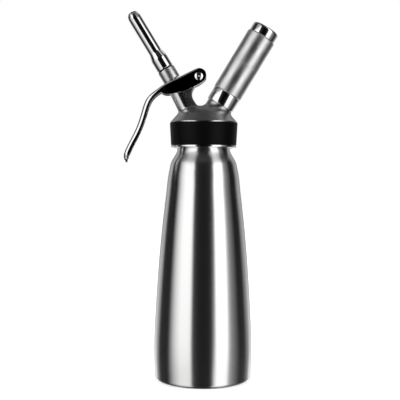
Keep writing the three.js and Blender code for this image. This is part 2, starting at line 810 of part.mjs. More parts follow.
function leverChannel() {
  const spine = leverSpine();
  const positions = [];
  let sides = 0;
  for (let station = 0; station <= leverStations; station += 1) {
    const share = station / leverStations;
    const point = spine.getPointAt(share);
    const along = spine.getTangentAt(share);
    const half = cheekOuterHalf * readShares(leverWidthShares, share);
    const depth = channelDepth * readShares(leverDepthShares, share);
    const section = channelSection(half, depth);
    sides = section.length;
    section.forEach(([across, down]) => {
      positions.push(point.x - down * along.y, across, point.y + down * along.x);
    });
  }
  return channelGeometry(positions, sides);
}

// Closed channel from its stations. Its ends are closed by joining outer and inner points
function channelGeometry(positions, sides) {
  const stations = positions.length / 3 / sides;
  const index = [];
  for (let row = 0; row + 1 < stations; row += 1) {
    for (let side = 0; side < sides; side += 1) {
      const a = row * sides + side;
      const b = row * sides + ((side + 1) % sides);
      index.push(a, b, b + sides, a, b + sides, a + sides);
    }
  }
  const last = (stations - 1) * sides;
  for (let side = 0; side + 1 < sides / 2; side += 1) {
    const [a, b] = [side, side + 1];
    const [c, d] = [sides - 2 - side, sides - 1 - side];
    index.push(a, c, b, a, d, c, last + a, last + b, last + c, last + a, last + c, last + d);
  }
  const geometry = new THREE.BufferGeometry();
  geometry.setAttribute("position", new THREE.Float32BufferAttribute(positions, 3));
  geometry.setIndex(index);
  return geometry;
}

// Side outline that gives the cheeks their round pivot end and curved lower edge
function cheekOutline() {
  const edge = cheekEdgeShares.map(([reach, drop]) => {
    return new THREE.Vector2(pivotReach - reach * cheekReach, pivotRise - drop * webOffset);
  });
  const pivotEndAngle = 90 * degree - webSlope;
  const outline = new THREE.Shape();
  outline.moveTo(edge[0].x, edge[0].y);
  outline.splineThru([...edge.slice(1), new THREE.Vector2(pivotReach + webOffset, pivotRise)]);
  outline.absarc(pivotReach, pivotRise, webOffset, 0, pivotEndAngle, false);
  outline.lineTo(pivotReach + webOffset, pivotRise + handleReach);
  outline.lineTo(-handleReach, pivotRise + handleReach);
  outline.lineTo(-handleReach, -handleDrop);
  outline.lineTo(edge[0].x, -handleDrop);
  return outline;
}

function stemSlot() {
  const radius = stemRadius + threadGap;
  const outline = new THREE.Shape();
  outline.absarc(slotInward - radius, 0, radius, -90 * degree, 90 * degree, false);
  outline.absarc(radius - slotOutward, 0, radius, 90 * degree, 270 * degree, false);
  const depth = channelDepth;
  return new THREE.ExtrudeGeometry(outline, { depth, bevelEnabled: false, curveSegments: 8 })
    .translate(0, 0, webTopAt(0) - depth / 2);
}

function makeLever() {
  const cheeks = toSolid(plate(cheekOutline(), cheekOuterHalf + cutOverrun, 4));
  const pinHoleHalf = cheekOuterHalf + cutOverrun;
  const pinHole = rod(pinHoleRadius, -pinHoleHalf, pinHoleHalf, smallSegments);
  pinHole.rotateX(Math.PI / 2).translate(pivotReach, 0, pivotRise);
  return toGeometry(
    toSolid(leverChannel()).intersect(cheeks).subtract(toSolid(pinHole)).subtract(toSolid(stemSlot())),
  );
}

// Pivot pieces are turned about their own +Z, which is laid along -Y
function makePivotPin() {
  const headFoot = cheekOuterHalf + faceGap;
  const headTop = headFoot + pinHeadThickness;
  return turned([
    [0, pinBoreDepth - cheekOuterHalf],
    [pinBoreRadius, pinBoreDepth - cheekOuterHalf],
    [pinBoreRadius, -cheekOuterHalf],
    [pinRadius, -cheekOuterHalf],
    [pinRadius, headFoot],
    [pinHeadRadius, headFoot],
    [pinHeadRadius, headTop - faceGap],
    [pinHeadRadius - faceGap, headTop],
    [pinSocketRadius, headTop],
    [pinSocketRadius, headTop - pinSocketDepth],
    [0, headTop - pinSocketDepth],
  ], smallSegments);
}

function makePivotNut() {
  const headTop = -cheekOuterHalf - faceGap;
  const headFoot = headTop - pinHeadThickness;
  const shankRadius = pinBoreRadius - slidingGap;
  return turned([
    [0, headFoot],
    [pinHeadRadius - faceGap, headFoot],
    [pinHeadRadius, headFoot + faceGap],
    [pinHeadRadius, headTop],
    [shankRadius, headTop],
    [shankRadius, pinBoreDepth - cheekOuterHalf - faceGap],
    [0, pinBoreDepth - cheekOuterHalf - faceGap],
  ], smallSegments);
}

function makeWasher() {
  return ring(pinHoleRadius, washerRadius, lugHalf + faceGap, cheekInnerHalf - faceGap, smallSegments);
}

// Charger holder: core with its lower band, knurled sleeve and end cap
function makeHolderCore() {
  const bandTop = holderReach + holderBandLength;
  const socketRoof = socketTopReach + threadGap;
  const threadRadius = socketThreadRadius + threadGap;
  const chargerBore = chargerRadius + threadGap;
  const boreEnd = coreTopReach - holderEndWall;
  return turned([
    [0, boreEnd],
    [chargerBore, boreEnd],
    [chargerBore, socketRoof],
    [threadRadius, socketRoof],
    [threadRadius, holderReach],
    [holderBandRadius - holderEdgeRounding, holderReach],
    [holderBandRadius, holderReach + holderEdgeRounding],
    [holderBandRadius, bandTop],
    [holderCoreRadius, bandTop],
    [holderCoreRadius, coreTopReach],
    [capSpigotRadius, coreTopReach],
    [capSpigotRadius, coreTopReach + capSpigotLength],
    [0, coreTopReach + capSpigotLength],
  ], mediumSegments);
}

function makeKnurledGrip() {
  const inner = holderCoreRadius + slidingGap;
  return turned([
    [inner, gripReach],
    [gripRadius - gripChamfer, gripReach],
    [gripRadius, gripReach + gripChamfer],
    [gripRadius, coreTopReach - gripChamfer],
    [gripRadius - gripChamfer, coreTopReach],
    [inner, coreTopReach],
  ], mediumSegments);
}

function makeHolderCap() {
  const socket = capSpigotRadius + slidingGap;
  const roundingFoot = holderTopReach - capRounding;
  const endRadius = capRadius - capRounding;
  const socketTop = coreTopReach + capSpigotLength + faceGap;
  return turned([
    [0, socketTop],
    [socket, socketTop],
    [socket, capReach],
    [capRadius, capReach],
    ...rounded([capRadius, roundingFoot], [capRadius, holderTopReach], [endRadius, holderTopReach], 4),
    [0, holderTopReach],
  ], mediumSegments);
}

// Gas charger: hollow steel flask whose neck is open where the pin has pierced it
function makeGasCharger() {
  const neckTop = chargerReach + chargerNeckLength;
  const shoulderTop = neckTop + chargerShoulderLength;
  const endFoot = chargerTopReach - chargerRadius;
  const inner = chargerRadius - chargerWall;
  const holeRadius = piercerRadius + slidingGap;
  const shoulder = [
    [chargerNeckRadius, neckTop],
    [chargerRadius, neckTop + chargerWall],
    [chargerRadius, shoulderTop],
  ];
  const innerTop = chargerTopReach - chargerWall;
  return turned([
    [holeRadius, chargerReach],
    [chargerNeckRadius, chargerReach],
    [chargerNeckRadius, neckTop],
    ...rounded(...shoulder, 4).slice(1),
    ...rounded([chargerRadius, endFoot], [chargerRadius, chargerTopReach], [0, chargerTopReach], 4),
    ...rounded([0, innerTop], [inner, innerTop], [inner, endFoot], 3).slice(1),
    [inner, shoulderTop],
    [holeRadius, neckTop + chargerWall],
  ], smallSegments);
}

function makeChargerSeal() {
  const top = chargerSealReach + chargerSealThickness;
  return ring(piercerRadius + slidingGap, chargerNeckRadius, chargerSealReach, top, smallSegments);
}

function makeChargerGasket() {
  const top = chargerGasketReach + chargerGasketThickness;
  return ring(chargerGasketHoleRadius, carrierRadius, chargerGasketReach, top, smallSegments);
}

function makePinCarrier() {
  return ring(piercerRadius + slidingGap, carrierRadius, carrierReach, carrierTopReach, smallSegments);
}

function makePiercingPin() {
  const top = chargerReach + faceGap;
  const foot = top - piercerLength;
  return turned([
    [0, foot],
    [piercerRadius, foot],
    [piercerRadius, top - piercerTipLength],
    [0, top],
  ], smallSegments);
}

function makeCheckDisc() {
  return rod(inletBoreRadius - slidingGap, discFootReach, discTopReach, smallSegments);
}

function makeInletNut() {
  const flangeTop = inletSeatReach - faceGap;
  const shankTop = discFootReach - discTravel;
  const shankRadius = inletBoreRadius - slidingGap;
  return turned([
    [gasHoleRadius, flangeTop - inletFlangeThickness],
    [inletFlangeRadius, flangeTop - inletFlangeThickness],
    [inletFlangeRadius, flangeTop],
    [shankRadius, flangeTop],
    [shankRadius, shankTop],
    [gasHoleRadius, shankTop],
  ], smallSegments);
}

// Pieces on the bottle's axis
const group = new THREE.Group();
group.add(
  piece("bottle", makeBottle(), "brushedSteel"),
  piece("head_gasket", makeHeadGasket(), "whiteRubber"),
  piece("head_body", makeHeadBody(), "castSteel"),
  piece("grip_band", makeGripBand(), "blackBand"),
);

// Pieces on the valve's axis, and the lever and its pivot beside it
const valveGroup = new THREE.Group();
valveGroup.applyMatrix4(valveFrame);
valveGroup.add(
  piece("valve_stem", makeValveStem(), "polishedSteel"),
  piece("valve_seal", makeValveSeal(), "rubber"),
  piece("stem_ring_lower", makeStemRing(lowerRingReach), "rubber"),
  piece("stem_ring_upper", makeStemRing(upperRingReach), "rubber"),
  piece("valve_spring", makeValveSpring(), "polishedSteel"),
  piece("guide_bush", makeGuideBush(), "brass"),
  piece("press_nut", makePressNut(), "polishedSteel"),
  piece("valve_collar", makeValveCollar(), "brushedSteel"),
  piece("nozzle_seal", makeNozzleSeal(), "rubber"),
  piece("nozzle", makeNozzle(), "polishedSteel"),
  piece("lever", makeLever(), "darkMirror"),
);
const pivotGroup = new THREE.Group();
pivotGroup.position.set(pivotReach, 0, pivotRise);
pivotGroup.rotation.x = 90 * degree;
const farWasher = piece("lever_washer_far", makeWasher(), "whiteRubber");
farWasher.rotation.x = 180 * degree;
pivotGroup.add(
  piece("pivot_pin", makePivotPin(), "polishedSteel"),
  piece("pivot_nut", makePivotNut(), "polishedSteel"),
  piece("lever_washer_near", makeWasher(), "whiteRubber"),
  farWasher,
);
valveGroup.add(pivotGroup);
group.add(valveGroup);

// Pieces on the charger's axis
const chargerGroup = new THREE.Group();
chargerGroup.applyMatrix4(chargerFrame);
chargerGroup.add(
  piece("charger_holder", makeHolderCore(), "polishedSteel"),
  piece("knurled_grip", makeKnurledGrip(), "brushedSteel"),
  piece("holder_cap", makeHolderCap(), "polishedSteel"),
  piece("gas_charger", makeGasCharger(), "brushedSteel"),
  piece("charger_seal", makeChargerSeal(), "brass"),
  piece("charger_gasket", makeChargerGasket(), "rubber"),
  piece("pin_carrier", makePinCarrier(), "brass"),
  piece("piercing_pin", makePiercingPin(), "polishedSteel"),
  piece("check_disc", makeCheckDisc(), "rubber"),
  piece("inlet_nut", makeInletNut(), "brass"),
);
group.add(chargerGroup);

export default group;
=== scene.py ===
# Looks of the whipped cream dispenser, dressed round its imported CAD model.
# Objects are in metres, +Z up. Lengths named here are in millimetres, and MM scales them.
import math

import bpy
import numpy as np
from mathutils import Matrix, Vector


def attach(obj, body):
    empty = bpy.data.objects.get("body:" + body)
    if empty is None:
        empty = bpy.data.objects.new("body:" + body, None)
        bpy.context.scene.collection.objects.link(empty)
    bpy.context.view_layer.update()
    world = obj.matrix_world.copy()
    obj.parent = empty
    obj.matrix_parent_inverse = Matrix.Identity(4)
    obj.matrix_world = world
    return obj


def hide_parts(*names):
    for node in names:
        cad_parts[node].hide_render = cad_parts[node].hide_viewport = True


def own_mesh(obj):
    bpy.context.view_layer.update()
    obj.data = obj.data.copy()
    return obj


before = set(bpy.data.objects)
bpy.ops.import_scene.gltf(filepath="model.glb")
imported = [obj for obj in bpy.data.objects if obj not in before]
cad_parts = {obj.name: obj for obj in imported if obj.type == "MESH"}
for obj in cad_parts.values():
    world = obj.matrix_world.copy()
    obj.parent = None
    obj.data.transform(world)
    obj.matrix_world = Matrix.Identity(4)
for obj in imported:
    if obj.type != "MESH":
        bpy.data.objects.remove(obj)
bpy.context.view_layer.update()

MM = 0.001
FULL_TURN = 2 * math.pi

# The bottle's axis, and the two axes that lean from it at one crossing
CROSSING_HEIGHT = 248.0
VALVE_LEAN = math.radians(31.5)
NECK_LEAN = math.radians(26.5)
CHARGER_LEAN = math.radians(31.0)
NECK_TOP = 49.5
PIVOT_ACROSS = 24.2
PIVOT_RISE = 49.2
UPRIGHT = Matrix.Identity(4)


def leaning(lean):
    return Matrix.Translation((0, 0, CROSSING_HEIGHT)) @ Matrix.Rotation(lean, 4, "Y")


VALVE = leaning(-VALVE_LEAN)
CHARGER = leaning(CHARGER_LEAN)
NECK = VALVE @ Matrix.Translation((0, 0, NECK_TOP)) @ Matrix.Rotation(VALVE_LEAN - NECK_LEAN, 4, "Y")
PIVOT_PLACE = Matrix.Translation((PIVOT_ACROSS, 0, PIVOT_RISE))
PIVOT = VALVE @ PIVOT_PLACE @ Matrix.Rotation(math.radians(90), 4, "X")


def span(node, place=UPRIGHT):
    """Foot, top and largest radius of a CAD node about a frame's axis, in millimetres."""
    to_local = place.inverted()
    points = np.array([to_local @ (vertex.co / MM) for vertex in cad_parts[node].data.vertices])
    radii = np.hypot(points[:, 0], points[:, 1])
    return points[:, 2].min(), points[:, 2].max(), radii.max()


# Lines and curves
def rounded_line(corners, steps=6):
    """Points of a line of (x, y) or (x, y, rounding) corners, with an arc at each rounding."""
    points = []
    for number, corner in enumerate(corners):
        here = np.array(corner[:2], float)
        rounding = corner[2] if len(corner) > 2 else 0.0
        if rounding == 0.0:
            points.append(here)
            continue
        beside = (corners[number - 1], corners[(number + 1) % len(corners)])
        before, after = (np.array(corner[:2], float) - here for corner in beside)
        before /= np.linalg.norm(before)
        after /= np.linalg.norm(after)
        half_angle = math.acos(np.clip(before @ after, -1, 1)) / 2
        bisector = (before + after) / np.linalg.norm(before + after)
        centre = here + bisector * rounding / math.sin(half_angle)
        start = here + before * rounding / math.tan(half_angle) - centre
        sweep = math.pi - 2 * half_angle
        turn = math.copysign(sweep, before[1] * after[0] - before[0] * after[1])
        for step in range(steps + 1):
            angle = turn * step / steps
            cosine, sine = math.cos(angle), math.sin(angle)
            points.append(centre + (start[0] * cosine - start[1] * sine, start[0] * sine + start[1] * cosine))
    return [tuple(point) for point in points]


def ring(inner, outer, foot, top, low=0, high=0):
    """Corners of a ring's section, with the roundings of its lower and upper outer edge."""
    return [(inner, foot), (outer, foot, low), (outer, top, high), (inner, top)]


def unit(vectors):
    return vectors / np.maximum(np.linalg.norm(vectors, axis=1), 1e-9)[:, None]


class Curve:
    """Line through given points in a plane whose bend changes without a jump."""

    def __init__(self, points):
        self.knots = np.array(points, float)
        steps = np.diff(self.knots, axis=0)
        self.places = np.concatenate([[0], np.cumsum(np.linalg.norm(steps, axis=1))])
        self.length = self.places[-1]
        gaps = np.diff(self.places)
        slopes = steps / gaps[:, None]
        count = len(self.knots)
        matrix = np.eye(count)
        right = np.zeros((count, 2))
        for k in range(1, count - 1):
            matrix[k, k - 1:k + 2] = gaps[k - 1], 2 * (gaps[k - 1] + gaps[k]), gaps[k]
            right[k] = 6 * (slopes[k] - slopes[k - 1])
        self.bends = np.linalg.solve(matrix, right)

    def at(self, places):
        """Points, first and second derivatives at places along the line."""
        k = np.clip(np.searchsorted(self.places, places) - 1, 0, len(self.knots) - 2)
        gap = (self.places[k + 1] - self.places[k])[:, None]
        low = (self.places[k + 1] - places)[:, None] / gap
        high = 1 - low
        cubic_low, cubic_high = low**3 - low, high**3 - high
        bend_low, bend_high = self.bends[k], self.bends[k + 1]
        point = low * self.knots[k] + high * self.knots[k + 1]
        point += (cubic_low * bend_low + cubic_high * bend_high) * gap**2 / 6
        first = (self.knots[k + 1] - self.knots[k]) / gap
        first += ((3 * high**2 - 1) * bend_high - (3 * low**2 - 1) * bend_low) * gap / 6
        return point, first, low * bend_low + high * bend_high

    def sampled(self, count):
        return self.at(np.linspace(0, 1, count) * self.length)[0]

    def nearest(self, points, guesses=70, rounds=5):
        """Place along the line nearest to each point, and the signed distance to its left."""
        starts = np.linspace(0, self.length, guesses)
        samples = self.at(starts)[0]
        squares = ((points[:, None] - samples) ** 2).sum(2)
        places = starts[squares.argmin(1)]
        reach = self.length / guesses
        for _ in range(rounds):
            point, first, second = self.at(places)
            offset = point - points
            slope = (offset * first).sum(1)
            curvature = np.maximum((first**2 + offset * second).sum(1), 0.2)
            places = np.clip(places - np.clip(slope / curvature, -reach, reach), 0, self.length)
        point, first, _ = self.at(places)
        offset = points - point
        along = unit(first)
        return places, along[:, 0] * offset[:, 1] - along[:, 1] * offset[:, 0]


def eased(rows, place):
    """Value of a table of (place, value) rows, easing from each row to the next."""
    places, values = np.array(rows).T
    k = np.clip(np.searchsorted(places, place) - 1, 0, len(places) - 2)
    share = np.clip((place - places[k]) / (places[k + 1] - places[k]), 0, 1)
    return values[k] + (values[k + 1] - values[k]) * share**2 * (3 - 2 * share)


def arc(centre, radius, start_degrees, end_degrees, steps=24):
    angles = np.radians(np.linspace(start_degrees, end_degrees, steps + 1))
    return [(centre[0] + radius * math.cos(angle), centre[1] + radius * math.sin(angle)) for angle in angles]


# Closed meshes, as points and faces
def outward(points, faces):
    """The faces turned so that the mesh has a positive volume."""
    fans = [(face[0], second, third) for face in faces for second, third in zip(face[1:], face[2:])]
    first, second, third = (points[corners] for corners in np.array(fans).T)
    volume = (first * np.cross(second, third)).sum()
    return faces if volume > 0 else [face[::-1] for face in faces]


def skin(rings, closed):
    """Closed mesh through rings of points. A ring of one point is a pole."""
    points, starts = [], []
    for ring in rings:
        starts.append(len(points))
        points.extend(ring)
    faces = []
    rows = len(rings) if closed else len(rings) - 1
    for row in range(rows):
        following = (row + 1) % len(rings)
        low, high = rings[row], rings[following]
        sides = max(len(low), len(high))
        for side in range(sides):
            beside = (side + 1) % sides
            lower = [starts[row] + side % len(low), starts[row] + beside % len(low)]
            upper = [starts[following] + beside % len(high), starts[following] + side % len(high)]
            face = list(dict.fromkeys(lower + upper))
            if len(face) > 2:
                faces.append(face)
    points = np.array(points, float)
    return points, outward(points, faces)


def ring_points(angles, radii, height):
    return [(radius * math.cos(a), radius * math.sin(a), height) for radius, a in zip(radii, angles)]


def turned(corners, segments=128, steps=6):
    """Closed mesh turned from corners in (radius, height) that end on the axis or close on themselves."""
    angles = FULL_TURN * np.arange(segments) / segments
    profile = rounded_line(corners, steps)
    rings = []
    for radius, height in profile:
        rings.append(ring_points(angles, [radius] * segments, height) if radius else [(0, 0, height)])
    on_axis = profile[0][0] == 0 and profile[-1][0] == 0
    return skin(rings, closed=not on_axis)


def patterned_sleeve(inner, foot, top, rows, segments, radius_at):
    """Closed sleeve whose outer radius is a function of (angle, height)."""
    angles = FULL_TURN * np.arange(segments) / segments
    heights = np.linspace(foot, top, rows + 1)
    outside = [ring_points(angles, radius_at(angles, height), height) for height in heights]
    under, over = (ring_points(angles, [inner] * segments, height) for height in (foot, top))
    return skin([under, *outside, over], closed=True)


def triangle_wave(phase):
    """1 at whole numbers and 0 halfway between them."""
    return np.abs(2 * (phase % 1.0) - 1)


def thread_sleeve(core, depth, foot, top, pitch, segments=96):
    """Sleeve with a screw thread, which stands just proud of its core and runs out at both ends."""
    proud, sunk, rows_per_turn = 0.06, 0.2, 10
    crest = core + depth

    def radius_at(angles, height):
        wave = 1 - triangle_wave(height / pitch - angles / FULL_TURN)
        ease = np.clip(min(height - foot, top - height) / pitch, 0.0, 1.0)
        flat_topped = np.clip(1.5 * wave - 0.2, 0, 1)
        return core + proud + (crest - core - proud) * flat_topped * ease

    rows = int((top - foot) / pitch * rows_per_turn)
    return patterned_sleeve(core - sunk, foot, top, rows, segments, radius_at)


def coil(radius, wire, foot, top, turns, steps_per_turn=40, sides=12):
    """Spring as one unbroken tube on a helix."""
    steps = int(turns * steps_per_turn)
    rings = []
    for step in range(steps + 1):
        angle = FULL_TURN * step / steps_per_turn
        height = foot + wire / 2 + (top - foot - wire) * step / steps
        ring = []
        for side in range(sides):
            around = FULL_TURN * side / sides
            reach = radius + wire / 2 * math.cos(around)
            rise = height + wire / 2 * math.sin(around)
            ring.append((reach * math.cos(angle), reach * math.sin(angle), rise))
        rings.append(ring)
    ends = [[np.mean(rings[end], axis=0)] for end in (0, -1)]
    return skin([ends[0], *rings, ends[1]], closed=False)


# Distances to solids, at arrays of points. They are negative inside
def joined(a, b, fillet):
    """Union of two solids, with a round fillet between them."""
    corner = np.hypot(np.maximum(fillet - a, 0), np.maximum(fillet - b, 0))
    return np.maximum(fillet, np.minimum(a, b)) - corner


def shared(a, b, rounding):
    """What two solids share, with rounded edges."""
    return -joined(-a, -b, rounding)


def outline_distance(points, outline):
    """Distance to a closed outline of (x, y) points in its plane."""
    outline = np.array(outline, float)
    nearest = np.full(len(points), np.inf)
    inside = np.zeros(len(points), bool)
    x, y = points[:, 0], points[:, 1]
    for start, end in zip(outline, np.roll(outline, -1, axis=0)):
        edge_x, edge_y = end - start
        if edge_x == 0 and edge_y == 0:
            continue
        from_x, from_y = x - start[0], y - start[1]
        share = np.clip((from_x * edge_x + from_y * edge_y) / (edge_x**2 + edge_y**2), 0, 1)
        nearest = np.minimum(nearest, (from_x - share * edge_x) ** 2 + (from_y - share * edge_y) ** 2)
        if edge_y != 0:
            spans = (y >= start[1]) != (y >= end[1])
            inside ^= spans & (from_x < from_y * edge_x / edge_y)
    return np.where(inside, -1, 1) * np.sqrt(nearest)


def turned_distance(points, outline):
    radii = np.hypot(points[:, 0], points[:, 1])
    return outline_distance(np.column_stack([radii, points[:, 2]]), outline)


def box_distance(a, b):
    """Distance to what lies within two straight limits at right angles."""
    return np.hypot(np.maximum(a, 0), np.maximum(b, 0)) + np.minimum(np.maximum(a, b), 0)


def rod_distance(points, radius, foot, top):
    outside_radius = np.hypot(points[:, 0], points[:, 1]) - radius
    outside_end = np.abs(points[:, 2] - (foot + top) / 2) - (top - foot) / 2
    return box_distance(outside_radius, outside_end)


def local(points, place):
    """World points in a frame's own coordinates."""
    rotation = np.array(place.to_3x3())
    return (points - np.array(place.translation)) @ rotation


def measured(distance, points, portion=60000):
    """The distance at many points, a portion at a time."""
    return np.concatenate([distance(points[k:k + portion]) for k in range(0, len(points), portion)])


def gradients(distance, points, reach=0.02):
    columns = []
    for axis in range(3):
        shift = np.zeros(3)
        shift[axis] = reach
        columns.append(measured(distance, points + shift) - measured(distance, points - shift))
    return unit(np.column_stack(columns))


CRISP_ANGLE = math.radians(22)


def contour(distance, low, high, step, halvings=4):
    """Closed mesh of the surface where a distance is zero, by dual contouring on cubes of one step.

    It comes with a normal for each corner of each face, so that an edge stays crisp."""
    low = np.array(low, float)
    size = step * 2**halvings
    counts = np.ceil((np.array(high, float) - low) / size).astype(int)
    cubes = np.indices(counts).reshape(3, -1).T
    octants = np.indices((2, 2, 2)).reshape(3, -1).T
    for halving in range(halvings + 1):
        near = np.abs(measured(distance, low + (cubes + 0.5) * size)) < size * 1.1
        cubes = cubes[near]
        if halving < halvings:
            cubes = (cubes[:, None] * 2 + octants).reshape(-1, 3)
            size /= 2
    counts = counts * 2**halvings + 2
    strides = np.array([counts[1] * counts[2], counts[2], 1])
    corner_keys = np.unique((cubes[:, None] + octants).reshape(-1, 3) @ strides)
    corners = np.column_stack(np.unravel_index(corner_keys, counts))
    values = measured(distance, low + corners * step)
    crossings, cells, flips = [], [], []
    for axis in range(3):
        keys = corner_keys + strides[axis]
        found = np.minimum(np.searchsorted(corner_keys, keys), len(corner_keys) - 1)
        crossing = (corner_keys[found] == keys) & ((values < 0) != (values[found] < 0))
        start, first, second = corners[crossing], values[crossing], values[found[crossing]]
        share = first / (first - second)
        direction = np.eye(3)[axis]
        for _ in range(2):
            middle = measured(distance, low + (start + share[:, None] * direction) * step)
            same = (middle < 0) == (first < 0)
            slope = np.where(same, (second - middle) / (1 - share + 1e-9), (middle - first) / (share + 1e-9))
            share = np.clip(share - middle / np.where(np.abs(slope) < 1e-6, np.inf, slope), 0, 1)
        crossings.append(low + (start + share[:, None] * direction) * step)
        sides = np.eye(3, dtype=int)[[(axis + 1) % 3, (axis + 2) % 3]]
        offsets = np.array([-sides[0] - sides[1], -sides[1], 0 * sides[0], -sides[0]])
        cells.append((start[:, None] + offsets) @ strides)
        flips.append(first > 0)
    crossings, cells, flips = map(np.concatenate, (crossings, cells, flips))
    normals = gradients(distance, crossings)
    cell_keys, faces = np.unique(cells, return_inverse=True)
    faces = faces.reshape(-1, 4)
    which = faces.ravel()
    tally = np.bincount(which).astype(float)

    def summed(amounts):
        return np.bincount(which, weights=np.repeat(amounts, 4), minlength=len(cell_keys))

    centres = np.column_stack([summed(crossings[:, axis]) for axis in range(3)]) / tally[:, None]
    planes = (normals * crossings).sum(1)
    matrix = np.empty((len(cell_keys), 3, 3))
    right = np.empty((len(cell_keys), 3))
    for row in range(3):
        right[:, row] = summed(normals[:, row] * planes)
        for column in range(3):
            matrix[:, row, column] = summed(normals[:, row] * normals[:, column])
    right -= (matrix * centres[:, None, :]).sum(2)
    matrix += np.eye(3) * (0.03 * tally)[:, None, None]
    shift = np.clip(np.linalg.solve(matrix, right[:, :, None])[:, :, 0], -step, step)
    points = centres + shift
    quads = np.where(flips[:, None], faces[:, ::-1], faces)
    flat = np.cross(points[quads[:, 2]] - points[quads[:, 0]], points[quads[:, 3]] - points[quads[:, 1]])
    flat = unit(flat)
    smooth = gradients(distance, points)[quads]
    crisp = (smooth * flat[:, None]).sum(2) < math.cos(CRISP_ANGLE)
    edges = crisp.any(1)
    flat[edges] = gradients(distance, points[quads[edges]].mean(1))
    return points, quads.tolist(), np.where(crisp[:, :, None], flat[:, None], smooth)


# Materials
materials = {}


class Recipe:
    """Node tree of one material or of the world, built node by node."""

    def __init__(self, owner):
        owner.use_nodes = True
        self.tree = owner.node_tree
        self.tree.nodes.clear()

    def node(self, kind, inputs=(), **settings):
        node = self.tree.nodes.new("ShaderNode" + kind)
        for name, value in settings.items():
            setattr(node, name, value)
        for name, value in dict(inputs).items():
            if isinstance(value, bpy.types.NodeSocket):
                self.tree.links.new(value, node.inputs[name])
            else:
                node.inputs[name].default_value = value
        return node

    def math(self, operation, first, second=0.0):
        node = self.node("Math", {0: first, 1: second}, operation=operation)
        return node.outputs[0]

    def noise(self, vector, scale, detail=3.0, roughness=0.55):
        inputs = {"Vector": vector, "Scale": scale, "Detail": detail, "Roughness": roughness}
        return self.node("TexNoise", inputs).outputs["Fac"]

    def ranged(self, value, low, high, start=0.25, end=0.75):
        inputs = {"Value": value, "From Min": start, "From Max": end, "To Min": low, "To Max": high}
        return self.node("MapRange", inputs).outputs["Result"]

    def ramp(self, value, stops):
        """Grey ramp of (place, level) stops."""
        node = self.node("ValToRGB", {"Fac": value})
        elements = node.color_ramp.elements
        while len(elements) < len(stops):
            elements.new(0.5)
        for element, (place, level) in zip(elements, stops):
            element.position = place
            element.color = (level, level, level, 1)
        return node.outputs["Color"]

    def mixed(self, factor, first, second):
        inputs = {0: factor, 6: first, 7: second}
        return self.node("Mix", inputs, data_type="RGBA").outputs[2]

    def position(self):
        return self.node("TexCoord").outputs["Object"]

    def bump(self, height, strength, depth):
        inputs = {"Height": height, "Strength": strength, "Distance": depth * MM}
        return self.node("Bump", inputs).outputs["Normal"]

    def finish(self, shader, kind="OutputMaterial"):
        self.node(kind, {"Surface": shader.outputs[0]})

    def principled(self, inputs):
        self.finish(self.node("BsdfPrincipled", inputs))


def new_recipe(name):
    """Empty recipe of a new material, which pieces find by its name."""
    materials[name] = bpy.data.materials.new(name)
    return Recipe(materials[name])


def grey(level, warmth=0.0):
    return (level * (1 + warmth), level, level * (1 - warmth), 1.0)


def steel(name, level, roughness, grain, relief=0.1, unevenness=0.04, brushed=0.0, warmth=0.004, spread=0.15):
    """Steel whose fine grain runs where grain, in waves per metre on each local axis, is low."""
    recipe = new_recipe(name)
    position = recipe.position()
    scaled = recipe.node("Mapping", {"Vector": position, "Scale": grain}).outputs["Vector"]
    streaks = recipe.noise(scaled, 1.0, 4.0, 0.65)
    clouds = recipe.noise(position, 45.0)
    blend = recipe.math("ADD", recipe.math("MULTIPLY", streaks, 0.7), recipe.math("MULTIPLY", clouds, 0.3))
    dull, bright = grey(level * (1 - unevenness), warmth), grey(level, warmth)
    inputs = {
        "Base Color": recipe.mixed(recipe.ranged(blend, 0.0, 1.0), dull, bright),
        "Metallic": 1.0,
        "Roughness": recipe.ranged(blend, roughness * (1 - spread), roughness * (1 + spread)),
        "Normal": recipe.bump(streaks, relief, 0.02),
    }
    if brushed:
        tangent = recipe.node("Tangent", direction_type="RADIAL", axis="Z").outputs["Tangent"]
        inputs |= {"Anisotropic": brushed, "Anisotropic Rotation": 0.25, "Tangent": tangent}
    recipe.principled(inputs)


def moulded(name, colour, roughness, grain=900.0, relief=0.15, shine=0.5):
    """Rubber or plastic with the fine dull skin of a mould."""
    recipe = new_recipe(name)
    position = recipe.position()
    skin_noise = recipe.noise(position, grain, 4.0)
    clouds = recipe.noise(position, 60.0)
    darker = tuple(channel * 0.8 for channel in colour[:3]) + (1.0,)
    inputs = {
        "Base Color": recipe.mixed(recipe.ranged(clouds, 0.0, 1.0), darker, colour),
        "Roughness": recipe.ranged(skin_noise, roughness * 0.85, roughness * 1.15),
        "Specular IOR Level": shine,
        "Normal": recipe.bump(skin_noise, relief, 0.05),
    }
    recipe.principled(inputs)


HEAD_LEVEL = 0.55
HEAD_ROUGHNESS = 0.32
POLISHED_LEVEL = 0.86
POLISHED_ROUGHNESS = 0.06
SPOUT_PAINTED_HIGHLIGHT = 0.6
EDGE_POLISH = 0.4
# Heights where the head's finish changes, and where the painted highlight on the spout's left side starts and
# becomes full
LIP_TOP = 234.6
EDGE_FOOT = 257.5
EDGE_TOP = 258.0
SPOUT_SATIN_TOP = 264.0
SPOUT_HIGHLIGHT_FOOT = 272.0


